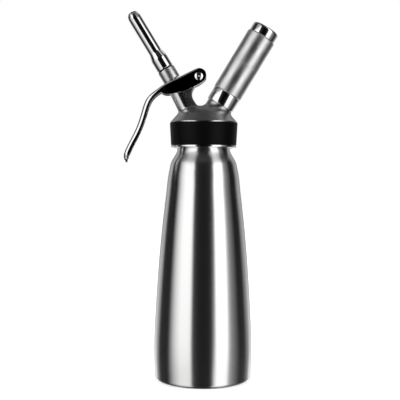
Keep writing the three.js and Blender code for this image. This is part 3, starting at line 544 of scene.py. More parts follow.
def cast_head():
    """Satin casting whose lip and dome edge are polished; the left side of its spout is smoother and painted
    lighter, a painted highlight where a lamp's reflection falls.
    """
    recipe = new_recipe("head_steel")
    position = recipe.position()
    grain = recipe.noise(position, 900.0, 4.0, 0.6)
    clouds = recipe.noise(position, 70.0)
    height = recipe.node("SeparateXYZ", {"Vector": position}).outputs["Z"]
    lip = recipe.ranged(height, 1.0, 0.0, LIP_TOP * MM, (LIP_TOP + 0.6) * MM)
    edge_low = recipe.ranged(height, 0.0, 1.0, (EDGE_FOOT - 1.0) * MM, EDGE_FOOT * MM)
    edge_high = recipe.ranged(height, 1.0, 0.0, (EDGE_TOP + 0.2) * MM, (EDGE_TOP + 0.9) * MM)
    # The spout's left side is made smoother and lighter in colour. The lighter colour is a painted highlight
    # along a lamp's reflection, not a finish that runs round the whole spout.
    spout = recipe.ranged(height, 0.0, SPOUT_PAINTED_HIGHLIGHT, SPOUT_SATIN_TOP * MM, SPOUT_HIGHLIGHT_FOOT * MM)
    rightward = (math.cos(VALVE_LEAN), 0, math.sin(VALVE_LEAN))
    across = recipe.node("VectorMath", {0: position, 1: rightward}, operation="DOT_PRODUCT")
    axis_across = CROSSING_HEIGHT * MM * math.sin(VALVE_LEAN)
    lit_left_side = recipe.ranged(across.outputs["Value"], 1.0, 0.1, axis_across - MM, axis_across + 5 * MM)
    spout = recipe.math("MULTIPLY", spout, lit_left_side)
    edge = recipe.math("MULTIPLY", edge_low, recipe.math("MULTIPLY", edge_high, EDGE_POLISH))
    # Mask of the lighter colour: real polish on the lip and dome edge, and a painted highlight on the spout's
    # left side.
    polish_and_painted_highlight = recipe.math("MAXIMUM", recipe.math("MAXIMUM", lip, edge), spout)
    satin = recipe.mixed(recipe.ranged(clouds, 0.0, 1.0), grey(HEAD_LEVEL * 0.9), grey(HEAD_LEVEL))
    roughness = recipe.ranged(grain, HEAD_ROUGHNESS * 0.9, HEAD_ROUGHNESS * 1.12)
    smoothing = recipe.math("MULTIPLY", polish_and_painted_highlight, HEAD_ROUGHNESS - POLISHED_ROUGHNESS)
    recipe.principled({
        "Base Color": recipe.mixed(polish_and_painted_highlight, satin, grey(POLISHED_LEVEL)),
        "Metallic": 1.0,
        "Roughness": recipe.math("SUBTRACT", roughness, smoothing),
        "Normal": recipe.bump(grain, 0.12, 0.03),
    })


# Grain in waves per metre on each local axis
ALL_WAYS = (1500.0, 1500.0, 1500.0)
ROUND_AXIS = (30.0, 30.0, 2500.0)

steel("bottle_steel", 0.86, 0.25, ROUND_AXIS, relief=0.01, unevenness=0.02, brushed=0.95, spread=0.04)
cast_head()
moulded("band_plastic", grey(0.0025), 0.4, shine=0.08)
steel("lever_steel", 0.82, POLISHED_ROUGHNESS, ALL_WAYS, relief=0.02, unevenness=0.02)
steel("polished_steel", POLISHED_LEVEL, POLISHED_ROUGHNESS, ALL_WAYS, relief=0.02, unevenness=0.02)
steel("satin_steel", 0.78, 0.36, ROUND_AXIS, relief=0.3, brushed=0.5)
steel("knurled_steel", 0.88, 0.3, ALL_WAYS, relief=0.1)
steel("plain_steel", 0.6, 0.35, ALL_WAYS)
steel("brass", 0.55, 0.25, ROUND_AXIS, warmth=0.35)
moulded("black_rubber", grey(0.012), 0.55, shine=0.3)
moulded("pale_silicone", grey(0.72, 0.03), 0.5, grain=500.0)


# Putting pieces in place
def added(name, data, matrix=UPRIGHT):
    thing = bpy.data.objects.new(name, data)
    bpy.context.scene.collection.objects.link(thing)
    thing.matrix_world = matrix
    return thing


def add_piece(name, mesh_parts, body, slot, place=UPRIGHT, replaces=(), sharp_degrees=35):
    points, faces, *normals = mesh_parts
    mesh = bpy.data.meshes.new(name)
    mesh.from_pydata((points * MM).tolist(), [], faces)
    mesh.polygons.foreach_set("use_smooth", [True] * len(mesh.polygons))
    if normals:
        mesh.normals_split_custom_set(normals[0].reshape(-1, 3).tolist())
    else:
        mesh.set_sharp_from_angle(angle=math.radians(sharp_degrees))
    mesh.materials.append(materials[slot])
    piece = added(name, mesh, Matrix.Translation(place.translation * MM) @ place.to_3x3().to_4x4())
    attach(piece, body)
    if replaces:
        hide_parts(*replaces)
    return piece


# Bottle
BELLY_RADIUS = 48.8
BELLY_HEIGHT = 23.0
BASE_RADIUS = 47.9
BASE_CORNER = 4.0
SHOULDER_RADIUS = 33.5
SHOULDER_HEIGHT = 213.0
NECK_RADIUS = 26.3
NECK_FOOT = 229.5
RIM_HEIGHT = 252.0
MOUTH_RADIUS = 24.1
BOTTLE_WALL = 1.2
FLOOR_THICKNESS = 2.4
GROOVE_INNER = 31.0
GROOVE_OUTER = 35.0
GROOVE_DEPTH = 1.0
GROOVE_ROUNDING = 0.3
RIM_ROUNDING = 0.8
FLANK_SHARES = [
    (0.193, 0.944), (0.384, 0.806), (0.575, 0.623), (0.765, 0.385), (0.891, 0.2), (0.954, 0.11),
]
SHOULDER_SHARES = [(0.26, 0.858), (0.503, 0.579), (0.745, 0.246)]
# Depth, foot, top and pitch
BOTTLE_THREAD = (0.35, 236.0, 249.5, 4.0)


def between(low, high, share):
    return low + (high - low) * share


def side_points(shares, radii, heights):
    return [(between(*radii, spread), between(*heights, rise)) for rise, spread in shares]


def bottle_side():
    flank = side_points(FLANK_SHARES, (SHOULDER_RADIUS, BELLY_RADIUS), (BELLY_HEIGHT, SHOULDER_HEIGHT))
    shoulder = side_points(SHOULDER_SHARES, (NECK_RADIUS, SHOULDER_RADIUS), (SHOULDER_HEIGHT, NECK_FOOT))
    neck = [(NECK_RADIUS, NECK_FOOT + rise) for rise in (0, 4, 8)]
    top = (SHOULDER_RADIUS, SHOULDER_HEIGHT)
    return Curve([(BASE_RADIUS, BASE_CORNER), (BELLY_RADIUS, BELLY_HEIGHT), *flank, top, *shoulder, *neck])


def make_bottle():
    side = [tuple(point) for point in bottle_side().sampled(150)]
    # The inside follows every third point of the side, a wall's thickness further in
    inside = [(max(r - BOTTLE_WALL, MOUTH_RADIUS), z) for r, z in side[4:130:3]][::-1]
    foot = rounded_line([
        (0, 0), (GROOVE_INNER, 0, GROOVE_ROUNDING),
        (GROOVE_INNER + GROOVE_DEPTH, GROOVE_DEPTH, GROOVE_ROUNDING),
        (GROOVE_OUTER - GROOVE_DEPTH, GROOVE_DEPTH, GROOVE_ROUNDING), (GROOVE_OUTER, 0, GROOVE_ROUNDING),
        (BASE_RADIUS, 0, BASE_CORNER * 0.98), side[1],
    ], steps=8)
    rim = rounded_line([
        side[-1], (NECK_RADIUS, RIM_HEIGHT, RIM_ROUNDING),
        (MOUTH_RADIUS, RIM_HEIGHT, RIM_ROUNDING), (MOUTH_RADIUS, NECK_FOOT),
    ])
    floor = [(BASE_RADIUS - BASE_CORNER, FLOOR_THICKNESS), (0, FLOOR_THICKNESS)]
    profile = [*foot, *side[2:-1], *rim, *inside, *floor]
    body = turned(profile, 192)
    add_piece("bottle_body", body, "bottle", "bottle_steel", replaces=["bottle"], sharp_degrees=50)
    thread = thread_sleeve(NECK_RADIUS, *BOTTLE_THREAD, 128)
    add_piece("bottle_thread", thread, "bottle", "bottle_steel")


# Head casting
NECK_BORE = 26.8
SKIRT_RADIUS = 30.3
SKIRT_FOOT = 231.8
LIP_RADIUS = 32.4
LIP_BEVEL = 0.9
LIP_FOOT_RADIUS = 27.5
DOME_EDGE_RADIUS = 33.0
DOME_EDGE_TOP = 258.3
SHELF_HEIGHT = 255.3
SHELF_RADIUS = 22.4
CEILING_RADIUS = 14.0
CEILING_HEIGHT = 264.0
DOME_POINTS = [(0, 274.3), (9.1, 273.8), (18.2, 271.5), (24.6, 267.4), (29.0, 262.6), (32.3, 258.9)]
SPOUT_RADIUS = 9.3
SPOUT_LENGTH = 32.5
SLAB_HALF = 9.1
SLAB_END = 7.9
SLAB_FOOT = 16
SLAB_REACH = 16.5
LUG_HALF = 8.0
LUG_RADIUS = 6.2
LUG_INNER = 6
ARM_FILLET = 11.0
ARM_TOP = PIVOT_RISE - 0.3
ARM_UNDERSIDE = PIVOT_RISE - LUG_RADIUS
PIN_HOLE = 2.8
SOCKET_RADIUS = 13.0
SOCKET_TOP = 31.0
SOCKET_THREAD_RADIUS = 11.7
SOCKET_THREAD_TOP = 41.0
SOCKET_FILLET = 3.0
SPOUT_FILLET = 2.0
VALVE_SEAT = 17.0
INLET_SEAT = 17.4
BOSS_TOP = 22.3
STEM_HOLE = 4.1
# Bosses and bores along the valve's axis and the charger's, in (radius, foot, top)
VALVE_BOSS = (7.5, VALVE_SEAT, BOSS_TOP)
INLET_BOSS = (7.2, INLET_SEAT, BOSS_TOP)
VALVE_BORES = [(6.8, 11, VALVE_SEAT), (STEM_HOLE, 11, 32), (6.0, 30, 47), (7.7, 45, 52)]
INLET_BORES = [(6.5, 10.2, INLET_SEAT), (4.3, 10.2, 29), (6.3, 27.1, 43)]
HOLDER_PITCH = 1.5
HOLDER_THREAD_DEPTH = 0.38
# Radii of the band's bore, foot and top
BAND_RADII = (30.6, 32.6, 33.8)
# Where the outlines of the dome and its hollow are closed, far behind the axis
FAR_BEHIND = -60


def dome_outline():
    """Outside of the dome and skirt, in (radius, height)."""
    mirrored = [(-radius, height) for radius, height in DOME_POINTS[:0:-1]]
    crown = Curve([*mirrored, *DOME_POINTS]).sampled(141)
    outside = [tuple(point) for point in crown if point[0] >= 0]
    skirt = rounded_line([
        outside[-2],
        (DOME_EDGE_RADIUS, DOME_EDGE_TOP, 0.5), (DOME_EDGE_RADIUS, EDGE_FOOT, 0.15),
        (SKIRT_RADIUS, EDGE_FOOT), (SKIRT_RADIUS, LIP_TOP), (LIP_RADIUS, LIP_TOP, 0.3),
        (LIP_RADIUS, SKIRT_FOOT + LIP_BEVEL, 0.8), (LIP_FOOT_RADIUS, SKIRT_FOOT, 0.3),
        (FAR_BEHIND, SKIRT_FOOT),
    ], steps=5)
    return [(FAR_BEHIND, DOME_POINTS[0][1]), *outside[:-2], *skirt]


def cavity_outline():
    under = SKIRT_FOOT - 4
    shelf = (SHELF_RADIUS, SHELF_HEIGHT)
    ceiling = rounded_line([shelf, (CEILING_RADIUS, CEILING_HEIGHT, 3), (0, CEILING_HEIGHT)])
    wall = [(FAR_BEHIND, under), (NECK_BORE, under), (NECK_BORE, SHELF_HEIGHT)]
    return [*wall, *ceiling, (FAR_BEHIND, CEILING_HEIGHT)]


def slab_outline():
    """Flat-sided part of the spout's neck, swept up into the arm, in (across, reach)."""
    corner = (SLAB_END + ARM_FILLET, ARM_UNDERSIDE - ARM_FILLET)
    return [
        (0, SLAB_FOOT), (SLAB_END, SLAB_FOOT), *arc(corner, ARM_FILLET, 180, 95),
        (PIVOT_ACROSS, ARM_UNDERSIDE + 0.5), (PIVOT_ACROSS, ARM_TOP), (0, ARM_TOP),
    ]


def lug_outline():
    return [
        (LUG_INNER, ARM_UNDERSIDE), (PIVOT_ACROSS, ARM_UNDERSIDE),
        *arc((PIVOT_ACROSS, PIVOT_RISE), LUG_RADIUS, -90, 110), (LUG_INNER + 2, ARM_TOP),
        (LUG_INNER, ARM_TOP),
    ]


DOME_OUTLINE = dome_outline()
CAVITY_OUTLINE = cavity_outline()
SLAB_OUTLINE = slab_outline()
LUG_OUTLINE = lug_outline()


def pin_hole_distance(side):
    return np.hypot(side[:, 0] - PIVOT_ACROSS, side[:, 1] - PIVOT_RISE) - PIN_HOLE


def spout_distance(points):
    valve = local(points, VALVE)
    neck = local(points, NECK)
    side = valve[:, [0, 2]]
    across = valve[:, 0]
    slab_end = shared(outline_distance(side, SLAB_OUTLINE), across - SLAB_REACH, 0.8)
    slab = shared(slab_end, np.abs(valve[:, 1]) - SLAB_HALF, 0.5)
    lug = shared(outline_distance(side, LUG_OUTLINE), np.abs(valve[:, 1]) - LUG_HALF, 0.8)
    neck_rod = shared(rod_distance(neck, SPOUT_RADIUS, -SPOUT_LENGTH, 4), valve[:, 2] - NECK_TOP, 0.5)
    spout = joined(joined(neck_rod, slab, 0.6), lug, 1.0)
    return shared(spout, -pin_hole_distance(side), 0.3)


def head_distance(points):
    valve = local(points, VALVE)
    charger = local(points, CHARGER)
    dome = turned_distance(points, DOME_OUTLINE)
    body = joined(dome, spout_distance(points), SPOUT_FILLET)
    socket = rod_distance(charger, SOCKET_RADIUS - 0.4, 10, SOCKET_TOP - 0.4) - 0.4
    body = joined(body, socket, SOCKET_FILLET)
    body = np.minimum(body, rod_distance(charger, SOCKET_THREAD_RADIUS, 10, SOCKET_THREAD_TOP))
    body = shared(body, -turned_distance(points, CAVITY_OUTLINE), 0.2)
    body = joined(body, rod_distance(valve, *VALVE_BOSS), 0.5)
    body = joined(body, rod_distance(charger, *INLET_BOSS), 0.5)
    bores = [rod_distance(valve, *bore) for bore in VALVE_BORES]
    bores += [rod_distance(charger, *bore) for bore in INLET_BORES]
    return shared(body, -np.minimum.reduce(bores), 0.25)


def make_head():
    casting = contour(head_distance, (-42, -36, 230), (42, 36, 310), 0.45)
    add_piece("head_casting", casting, "head", "head_steel", replaces=["head_body"])
    foot, top = SOCKET_TOP + 0.2, SOCKET_THREAD_TOP - 0.6
    thread = thread_sleeve(SOCKET_THREAD_RADIUS, HOLDER_THREAD_DEPTH, foot, top, HOLDER_PITCH)
    add_piece("socket_thread", thread, "head", "head_steel", CHARGER)
    foot, top, _ = span("grip_band")
    bore, foot_radius, top_radius = BAND_RADII
    band = [(bore, foot), (foot_radius, foot, 0.5), (top_radius, top, 0.7), (bore, top)]
    add_piece("grip_band_moulded", turned(band, 160), "head", "band_plastic", replaces=["grip_band"])
    foot, top, radius = span("guide_bush", VALVE)
    bush = [(STEM_HOLE, foot), (radius, foot), (radius, top, 0.3), (STEM_HOLE, top, 0.3)]
    add_piece("guide_bush_turned", turned(bush), "head", "brass", VALVE, ["guide_bush"])


# Valve, collar and nozzle
STEM_RADIUS = 3.8
SPIGOT_RADIUS = 5.4
SPIGOT_HOLE = SPIGOT_RADIUS + 0.3
STEM_BORE = 1.9
STEM_BORE_FOOT = 18.1
STEM_HEAD_RADIUS = 5.0
STEM_HEAD_TOP = 12.9
# Radius, foot and top
STEM_SHOULDER = (5.6, 43.2, 45.0)
RING_GROOVE_RADIUS = 2.8
RING_GROOVE_HALF = 0.9
SPRING_WIRE = 1.1
SPRING_TURNS = 5.5
COLLAR_BORE_TOP = 71.3
SEAL_GAP = 0.3
NOZZLE_PITCH = 1.25
NOZZLE_THREAD_DEPTH = 0.24
NOZZLE_SOCKET_TOP = 81.8
NOZZLE_BASE_LENGTH = 11.6
NOZZLE_CONE_LENGTH = 7.0
TUBE_RADIUS = 6.4
NOZZLE_WALL = 1.3
NOZZLE_TIP_LENGTH = 4.5
NOZZLE_MOUTH_RADIUS = 3.4
TIP_SLOT_WIDTH = 1.3
TIP_SLOT_DEPTH = 8.0
TIP_SLOT_PAIRS = 3


def make_stem():
    foot, top, _ = span("valve_stem", VALVE)
    grooves = []
    for node in ("stem_ring_lower", "stem_ring_upper"):
        low, high, _ = span(node, VALVE)
        middle = (low + high) / 2
        grooves += ring(STEM_RADIUS, RING_GROOVE_RADIUS, middle - RING_GROOVE_HALF, middle + RING_GROOVE_HALF)
    stem = turned([
        (0, foot), (STEM_HEAD_RADIUS, foot, 0.3), (STEM_HEAD_RADIUS, STEM_HEAD_TOP),
        (STEM_RADIUS, STEM_HEAD_TOP), *grooves, *ring(STEM_RADIUS, *STEM_SHOULDER, high=0.3),
        (STEM_RADIUS, top, 0.3), (STEM_BORE, top), (STEM_BORE, STEM_BORE_FOOT), (0, STEM_BORE_FOOT),
    ], 64, 4)
    add_piece("stem_turned", stem, "valve", "polished_steel", VALVE, ["valve_stem"])
    foot, top, radius = span("press_nut", VALVE)
    nut = turned(ring(STEM_HOLE, radius, foot, top, 0.4, 0.4), 64)
    add_piece("press_nut_turned", nut, "valve", "polished_steel", VALVE, ["press_nut"])


def make_spring():
    foot, top, radius = span("valve_spring", VALVE)
    spring = coil(radius - SPRING_WIRE / 2, SPRING_WIRE, foot, top, SPRING_TURNS)
    piece = add_piece("spring_coil", spring, "head", "plain_steel", VALVE, ["valve_spring"])
    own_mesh(piece)


def make_collar():
    foot, spigot_top, radius = span("valve_collar", VALVE)
    seal_foot, seal_top, seal_radius = span("nozzle_seal", VALVE)
    top = seal_foot - SEAL_GAP
    collar = turned([
        (STEM_HOLE, foot), (radius, foot, 0.6), (radius, top, 0.35), (SPIGOT_RADIUS, top),
        (SPIGOT_RADIUS, spigot_top, 0.4), (STEM_BORE, spigot_top), (STEM_BORE, COLLAR_BORE_TOP),
        (STEM_HOLE, COLLAR_BORE_TOP),
    ])
    add_piece("collar_turned", collar, "valve", "satin_steel", VALVE, ["valve_collar"])
    thread = thread_sleeve(SPIGOT_RADIUS, NOZZLE_THREAD_DEPTH, top + 0.8, spigot_top - 0.8, NOZZLE_PITCH, 72)
    add_piece("collar_thread", thread, "valve", "satin_steel", VALVE)
    seal = turned(ring(SPIGOT_HOLE, seal_radius, seal_foot, seal_top, 0.2, 0.2))
    add_piece("nozzle_seal_moulded", seal, "nozzle_seal", "black_rubber", VALVE, ["nozzle_seal"])


def nozzle_outline():
    foot, tip, base_radius = span("nozzle", VALVE)
    cone_foot = foot + NOZZLE_BASE_LENGTH
    cone_top = cone_foot + NOZZLE_CONE_LENGTH
    tip_foot = tip - NOZZLE_TIP_LENGTH
    bore = TUBE_RADIUS - NOZZLE_WALL
    mouth_bore = NOZZLE_MOUTH_RADIUS - NOZZLE_WALL
    return rounded_line([
        (SPIGOT_HOLE, foot), (base_radius, foot, 0.5), (base_radius, cone_foot, 7.0),
        (TUBE_RADIUS, cone_top, 7.0), (TUBE_RADIUS, tip_foot - 1.0, 6.0),
        (TUBE_RADIUS - 0.9, tip_foot + 2.2, 5.0), (NOZZLE_MOUTH_RADIUS, tip, 0.5),
        (mouth_bore, tip, 0.4), (bore, tip_foot - 0.5, 4.0), (bore, NOZZLE_SOCKET_TOP),
        (SPIGOT_HOLE, NOZZLE_SOCKET_TOP),
    ], steps=12)


def make_nozzle():
    outline = nozzle_outline()
    foot, tip, radius = span("nozzle", VALVE)
    slot_foot = tip - TIP_SLOT_DEPTH + TIP_SLOT_WIDTH / 2

    def distance(points):
        wall = turned_distance(points, outline)
        slots = []
        for pair in range(TIP_SLOT_PAIRS):
            angle = math.pi * pair / TIP_SLOT_PAIRS
            sideways = points[:, 0] * math.sin(angle) - points[:, 1] * math.cos(angle)
            under = np.maximum(slot_foot - points[:, 2], 0)
            slots.append(np.hypot(sideways, under) - TIP_SLOT_WIDTH / 2)
        return shared(wall, -np.minimum.reduce(slots), 0.22)

    reach = radius + 1
    nozzle = contour(distance, (-reach, -reach, foot - 1), (reach, reach, tip + 1), 0.3)
    add_piece("nozzle_slotted", nozzle, "nozzle", "polished_steel", VALVE, ["nozzle"])


# Lever and its pivot. The pin's head is a low crown round a recess with a small dot
PIN_CROWN_RADIUS = 8.0
PIN_RECESS_RADIUS = 2.2
PIN_RECESS_DEPTH = 0.95
PIN_DOT_RADIUS = 0.95
PIN_RADIUS = 2.5
PIN_THREAD_RADIUS = 1.5
PIN_THREAD_DEPTH = 9
NUT_SOCKET_RADIUS = 1.6
NUT_SOCKET_DEPTH = 0.6
NUT_SHANK_RADIUS = 1.2
PIVOT_HEAD_DEPTH = 1.2
SHEET = 1.3
CHEEK_HALF = 11.2
WEB_OFFSET = 8.1
WEB_SLOPE = math.radians(5.24)
HANDLE_REACH = 106.6
HANDLE_DROP = 35.5
CHEEK_REACH = 40.2
CHANNEL_DEPTH = 20.0
CHEEK_EDGE_ROUNDING = 0.45
HANDLE_EDGE_ROUNDING = 0.0
EDGE_GAP = 1.5
OUTLINE_MARGIN = 6
SLOT_RADIUS = 4.3
SLOT_INWARD = 6.6
SLOT_OUTWARD = 4.9
WEB_SHARES = [-0.1, 0, 0.1, 0.2, 0.31]
CHEEK_SHARE = 0.38
HANDLE_START_SHARE = 0.4
HANDLE_BACK_SHARES = [
    (0.402, -0.299), (0.487, -0.268), (0.536, -0.209), (0.579, -0.118), (0.633, 0.025),
    (0.746, 0.304), (0.877, 0.552), (0.9456, 0.687), (0.985, 0.806), (1, 1),
]
LEVER_WIDTH_SHARES = [(0, 1), (0.33, 1), (0.8, 0.56), (0.92, 0.6), (0.97, 0.48), (1, 0.2)]
LEVER_FOLD_RADII = [(0, 2.2), (0.36, 2.2), (0.52, 4.0), (1, 4.0)]
HANDLE_DEPTH_SHARES = [(0.345, 0.22), (0.375, 0.22), (0.52, 0.28), (0.9, 0.28), (0.955, 0.25), (1, 0.08)]
CHEEK_EDGE_SHARES = [
    (1, -0.741), (0.98, -0.49), (0.908, -0.148), (0.719, 0.259),
    (0.47, 0.654), (0.244, 0.79), (-0.03, 0.815), (-0.139, 0.605),
]


def web_top_at(across):
    return PIVOT_RISE + WEB_OFFSET / math.cos(WEB_SLOPE) + (PIVOT_ACROSS - across) * math.tan(WEB_SLOPE)


def from_pivot(shares, reach, drop):
    return [(PIVOT_ACROSS - across * reach, PIVOT_RISE - down * drop) for across, down in shares]


def lever_spine():
    """Back of the lever from past its pivot to the end of its handle, in (across, reach)."""
    web = [PIVOT_ACROSS - share * HANDLE_REACH for share in WEB_SHARES]
    handle = from_pivot(HANDLE_BACK_SHARES, HANDLE_REACH, HANDLE_DROP)
    return Curve([*((across, web_top_at(across)) for across in web), *handle])


SPINE = lever_spine()


def lever_side_outline():
    """Side view of the lever: round cheek ends, curved lower edge and the handle's inner edge."""
    edge = from_pivot(CHEEK_EDGE_SHARES, CHEEK_REACH, WEB_OFFSET)
    cheek_edge = Curve([*edge, (PIVOT_ACROSS + WEB_OFFSET, PIVOT_RISE)]).sampled(60)
    end_angle = 90 - math.degrees(WEB_SLOPE)
    pivot_end = arc((PIVOT_ACROSS, PIVOT_RISE), WEB_OFFSET, 0, end_angle)
    places = np.linspace(0, 1, 120)
    back, along, _ = SPINE.at(places * SPINE.length)
    along = unit(along)
    inward = np.column_stack([-along[:, 1], along[:, 0]])
    beyond = back - OUTLINE_MARGIN * inward
    handle = places > HANDLE_START_SHARE
    depth = CHANNEL_DEPTH * eased(HANDLE_DEPTH_SHARES, places[handle])
    inner = (back[handle] + inward[handle] * depth[:, None])[::-1]
    cleared = [tuple(point) for point in inner if point[0] < edge[0][0] - EDGE_GAP]
    over_pivot = [(PIVOT_ACROSS + 1.2, PIVOT_RISE + 20)]
    outside = [tuple(point) for point in beyond[::5] if point[0] < PIVOT_ACROSS]
    return [*cleared, *map(tuple, cheek_edge), *pivot_end[1:], *over_pivot, *outside]


def make_lever():
    outline = lever_side_outline()
    slot_middle = (SLOT_INWARD - SLOT_OUTWARD) / 2
    slot_half = (SLOT_INWARD + SLOT_OUTWARD) / 2 - SLOT_RADIUS

    def distance(points):
        side = points[:, [0, 2]]
        place, left = SPINE.nearest(side)
        share = place / SPINE.length
        half = CHEEK_HALF * eased(LEVER_WIDTH_SHARES, share)
        fold = np.minimum(eased(LEVER_FOLD_RADII, share), half - 0.1)
        over_half = np.abs(points[:, 1]) - half + fold
        solid = box_distance(over_half, fold - left) - fold
        sheet = np.abs(solid + SHEET / 2) - SHEET / 2
        rounding = np.where(share < CHEEK_SHARE, CHEEK_EDGE_ROUNDING, HANDLE_EDGE_ROUNDING)
        trimmed = shared(sheet, outline_distance(side, outline), rounding)
        off_slot = np.maximum(np.abs(points[:, 0] - slot_middle) - slot_half, 0)
        slot = np.hypot(off_slot, points[:, 1]) - SLOT_RADIUS
        return shared(shared(trimmed, -slot, 0.3), -pin_hole_distance(side), 0.25)

    lever = contour(distance, (-88, -13, 6), (36, 13, 70), 0.3)
    add_piece("lever_stamped", lever, "lever", "lever_steel", VALVE, ["lever"])


def make_pivot():
    pin_foot, pin_top, head_radius = span("pivot_pin", PIVOT)
    head_foot = pin_top - PIVOT_HEAD_DEPTH
    recess = pin_top - PIN_RECESS_DEPTH
    thread_end = pin_foot + PIN_THREAD_DEPTH
    crown_centre = pin_top - math.sqrt(PIN_CROWN_RADIUS**2 - PIN_RECESS_RADIUS**2)
    ends = [math.degrees(math.acos(radius / PIN_CROWN_RADIUS)) for radius in (PIN_RECESS_RADIUS, head_radius)]
    pin = [
        (0, recess + PIN_DOT_RADIUS), *arc((0, recess), PIN_DOT_RADIUS, 90, 0, 6)[1:],
        (PIN_RECESS_RADIUS, recess), *arc((0, crown_centre), PIN_CROWN_RADIUS, *ends, 14),
        (head_radius, head_foot), (PIN_RADIUS, head_foot), (PIN_RADIUS, pin_foot),
        (PIN_THREAD_RADIUS, pin_foot), (PIN_THREAD_RADIUS, thread_end), (0, thread_end),
    ]
    add_piece("pivot_pin_turned", turned(pin, 72), "lever", "polished_steel", PIVOT, ["pivot_pin"])
    foot, top, radius = span("pivot_nut", PIVOT)
    socket_end, head_top = foot + NUT_SOCKET_DEPTH, foot + PIVOT_HEAD_DEPTH
    nut = turned([
        (0, socket_end), (NUT_SOCKET_RADIUS, socket_end), (NUT_SOCKET_RADIUS, foot, 0.2), (radius, foot, 0.5),
        (radius, head_top), (NUT_SHANK_RADIUS, head_top), (NUT_SHANK_RADIUS, top), (0, top),
    ], 72, 5)
    add_piece("pivot_nut_turned", nut, "lever", "polished_steel", PIVOT, ["pivot_nut"])
    for side in ("near", "far"):
        node = f"lever_washer_{side}"
        foot, top, radius = span(node, PIVOT)
        washer = turned(ring(PIN_HOLE, radius, foot, top, 0.2, 0.2), 72)
        add_piece(f"washer_{side}", washer, "lever", "pale_silicone", PIVOT, [node])


# Charger holder
KNURL_PITCH = 1.2
KNURL_DEPTH = 0.16
KNURL_BORE = 12.8
KNURL_SAMPLES = 4
HOLDER_SOCKET = 12.2
HOLDER_SOCKET_TOP = 41.5
HOLDER_BORE = 9.5
CORE_RADIUS = 12.5
HOLDER_END = 1.5
GRIP_GAP = 0.3
PEG_RADIUS = 6.0
CAP_HOLE = 6.3
CAP_HOLE_DEPTH = 5.3
CAP_ROUNDING = 2.4


def knurl(radius, foot, top):
    """Sleeve with real diamonds, cut by two sets of crossing grooves."""
    around = int(round(FULL_TURN * radius / KNURL_PITCH))
    rows = int(round((top - foot) / KNURL_PITCH)) * KNURL_SAMPLES

    def radius_at(angles, height):
        turn = around * angles / FULL_TURN
        climb = (height - foot) / KNURL_PITCH
        groove = np.maximum(triangle_wave(turn + climb), triangle_wave(turn - climb))
        ends = np.clip(min(height - foot, top - height) / 0.6, 0, 1)
        return radius - KNURL_DEPTH * groove - 0.5 * (1 - ends)

    return patterned_sleeve(KNURL_BORE, foot, top, rows, around * KNURL_SAMPLES, radius_at)


def make_holder():
    foot, top, radius = span("charger_holder", CHARGER)
    grip_foot, grip_top, grip_radius = span("knurled_grip", CHARGER)
    band_top = grip_foot - GRIP_GAP
    core = turned([
        (0, grip_top - HOLDER_END), (HOLDER_BORE, grip_top - HOLDER_END), (HOLDER_BORE, HOLDER_SOCKET_TOP),
        (HOLDER_SOCKET, HOLDER_SOCKET_TOP), (HOLDER_SOCKET, foot), (radius, foot, 0.6),
        (radius, band_top, 0.3), (CORE_RADIUS, band_top), (CORE_RADIUS, grip_top),
        (PEG_RADIUS, grip_top), (PEG_RADIUS, top), (0, top),
    ], 144, 5)
    add_piece("holder_core_turned", core, "holder", "polished_steel", CHARGER, ["charger_holder"])
    grip = knurl(grip_radius, grip_foot, grip_top)
    add_piece(
        "knurled_grip_cut", grip, "holder", "knurled_steel", CHARGER, ["knurled_grip"], sharp_degrees=20
    )
    foot, top, radius = span("holder_cap", CHARGER)
    socket_top = foot + CAP_HOLE_DEPTH
    cap = turned([
        (0, socket_top), (CAP_HOLE, socket_top), (CAP_HOLE, foot), (radius, foot, 0.4),
        (radius, top, CAP_ROUNDING), (0, top),
    ], 144, 10)
    add_piece("holder_cap_turned", cap, "holder", "polished_steel", CHARGER, ["holder_cap"])


HIDDEN_FINISHES = {
    "pale_silicone": ["head_gasket"],
    "black_rubber": ["valve_seal", "stem_ring_lower", "stem_ring_upper", "charger_gasket", "check_disc"],
    "plain_steel": ["gas_charger", "piercing_pin", "inlet_nut"],
    "brass": ["charger_seal", "pin_carrier"],
}


def finish_hidden_nodes():
    """Inner CAD pieces keep their shapes and get these finishes."""
    for finish, names in HIDDEN_FINISHES.items():
        for name in names:
            for material_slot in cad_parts[name].material_slots:
                material_slot.link = "OBJECT"
                material_slot.material = materials[finish]


# Camera, floor and light, in metres
CAMERA_PLACE = (-0.0034, -0.950, 0.215)
CAMERA_PITCH = math.radians(87.9)
CAMERA_ROLL = math.radians(0.25)
CAMERA_LENS = 85.5
FLOOR_HALF = 4.0
PAPER_LEVEL = 0.95
PAPER_GLOW = 0.4
LAMP_AIM = (0, 0, 0.15)
# Each lamp's name, place, size and watts
LAMPS = [("left_lamp", (-1.2, -1.0, 1.4), 1.2, 9.0), ("right_lamp", (1.3, -0.7, 1.1), 1.0, 5.0)]


def add_camera():
    data = bpy.data.cameras.new("camera")
    data.lens = CAMERA_LENS
    data.sensor_width = 36
    turn = Matrix.Rotation(CAMERA_PITCH, 4, "X") @ Matrix.Rotation(CAMERA_ROLL, 4, "Z")
    bpy.context.scene.camera = added("camera", data, Matrix.Translation(CAMERA_PLACE) @ turn)


def add_floor():
    mesh = bpy.data.meshes.new("floor")
    corners = [(FLOOR_HALF * x, FLOOR_HALF * y, 0) for x, y in ((-1, -1), (1, -1), (1, 1), (-1, 1))]
    mesh.from_pydata(corners, [], [(0, 1, 2, 3)])
    floor = added("floor", mesh)
    recipe = new_recipe("floor_paper")
    path = recipe.node("LightPath")
    glow = recipe.node("Emission", {"Color": grey(1.0), "Strength": PAPER_GLOW})
    paper = recipe.node("BsdfDiffuse", {"Color": grey(PAPER_LEVEL)})
    seen = recipe.node("AddShader", {0: paper.outputs[0], 1: glow.outputs[0]})
    inputs = {0: path.outputs["Is Camera Ray"], 1: paper.outputs[0], 2: seen.outputs[0]}
    recipe.finish(recipe.node("MixShader", inputs))
    mesh.materials.append(materials["floor_paper"])
    floor.visible_glossy = False


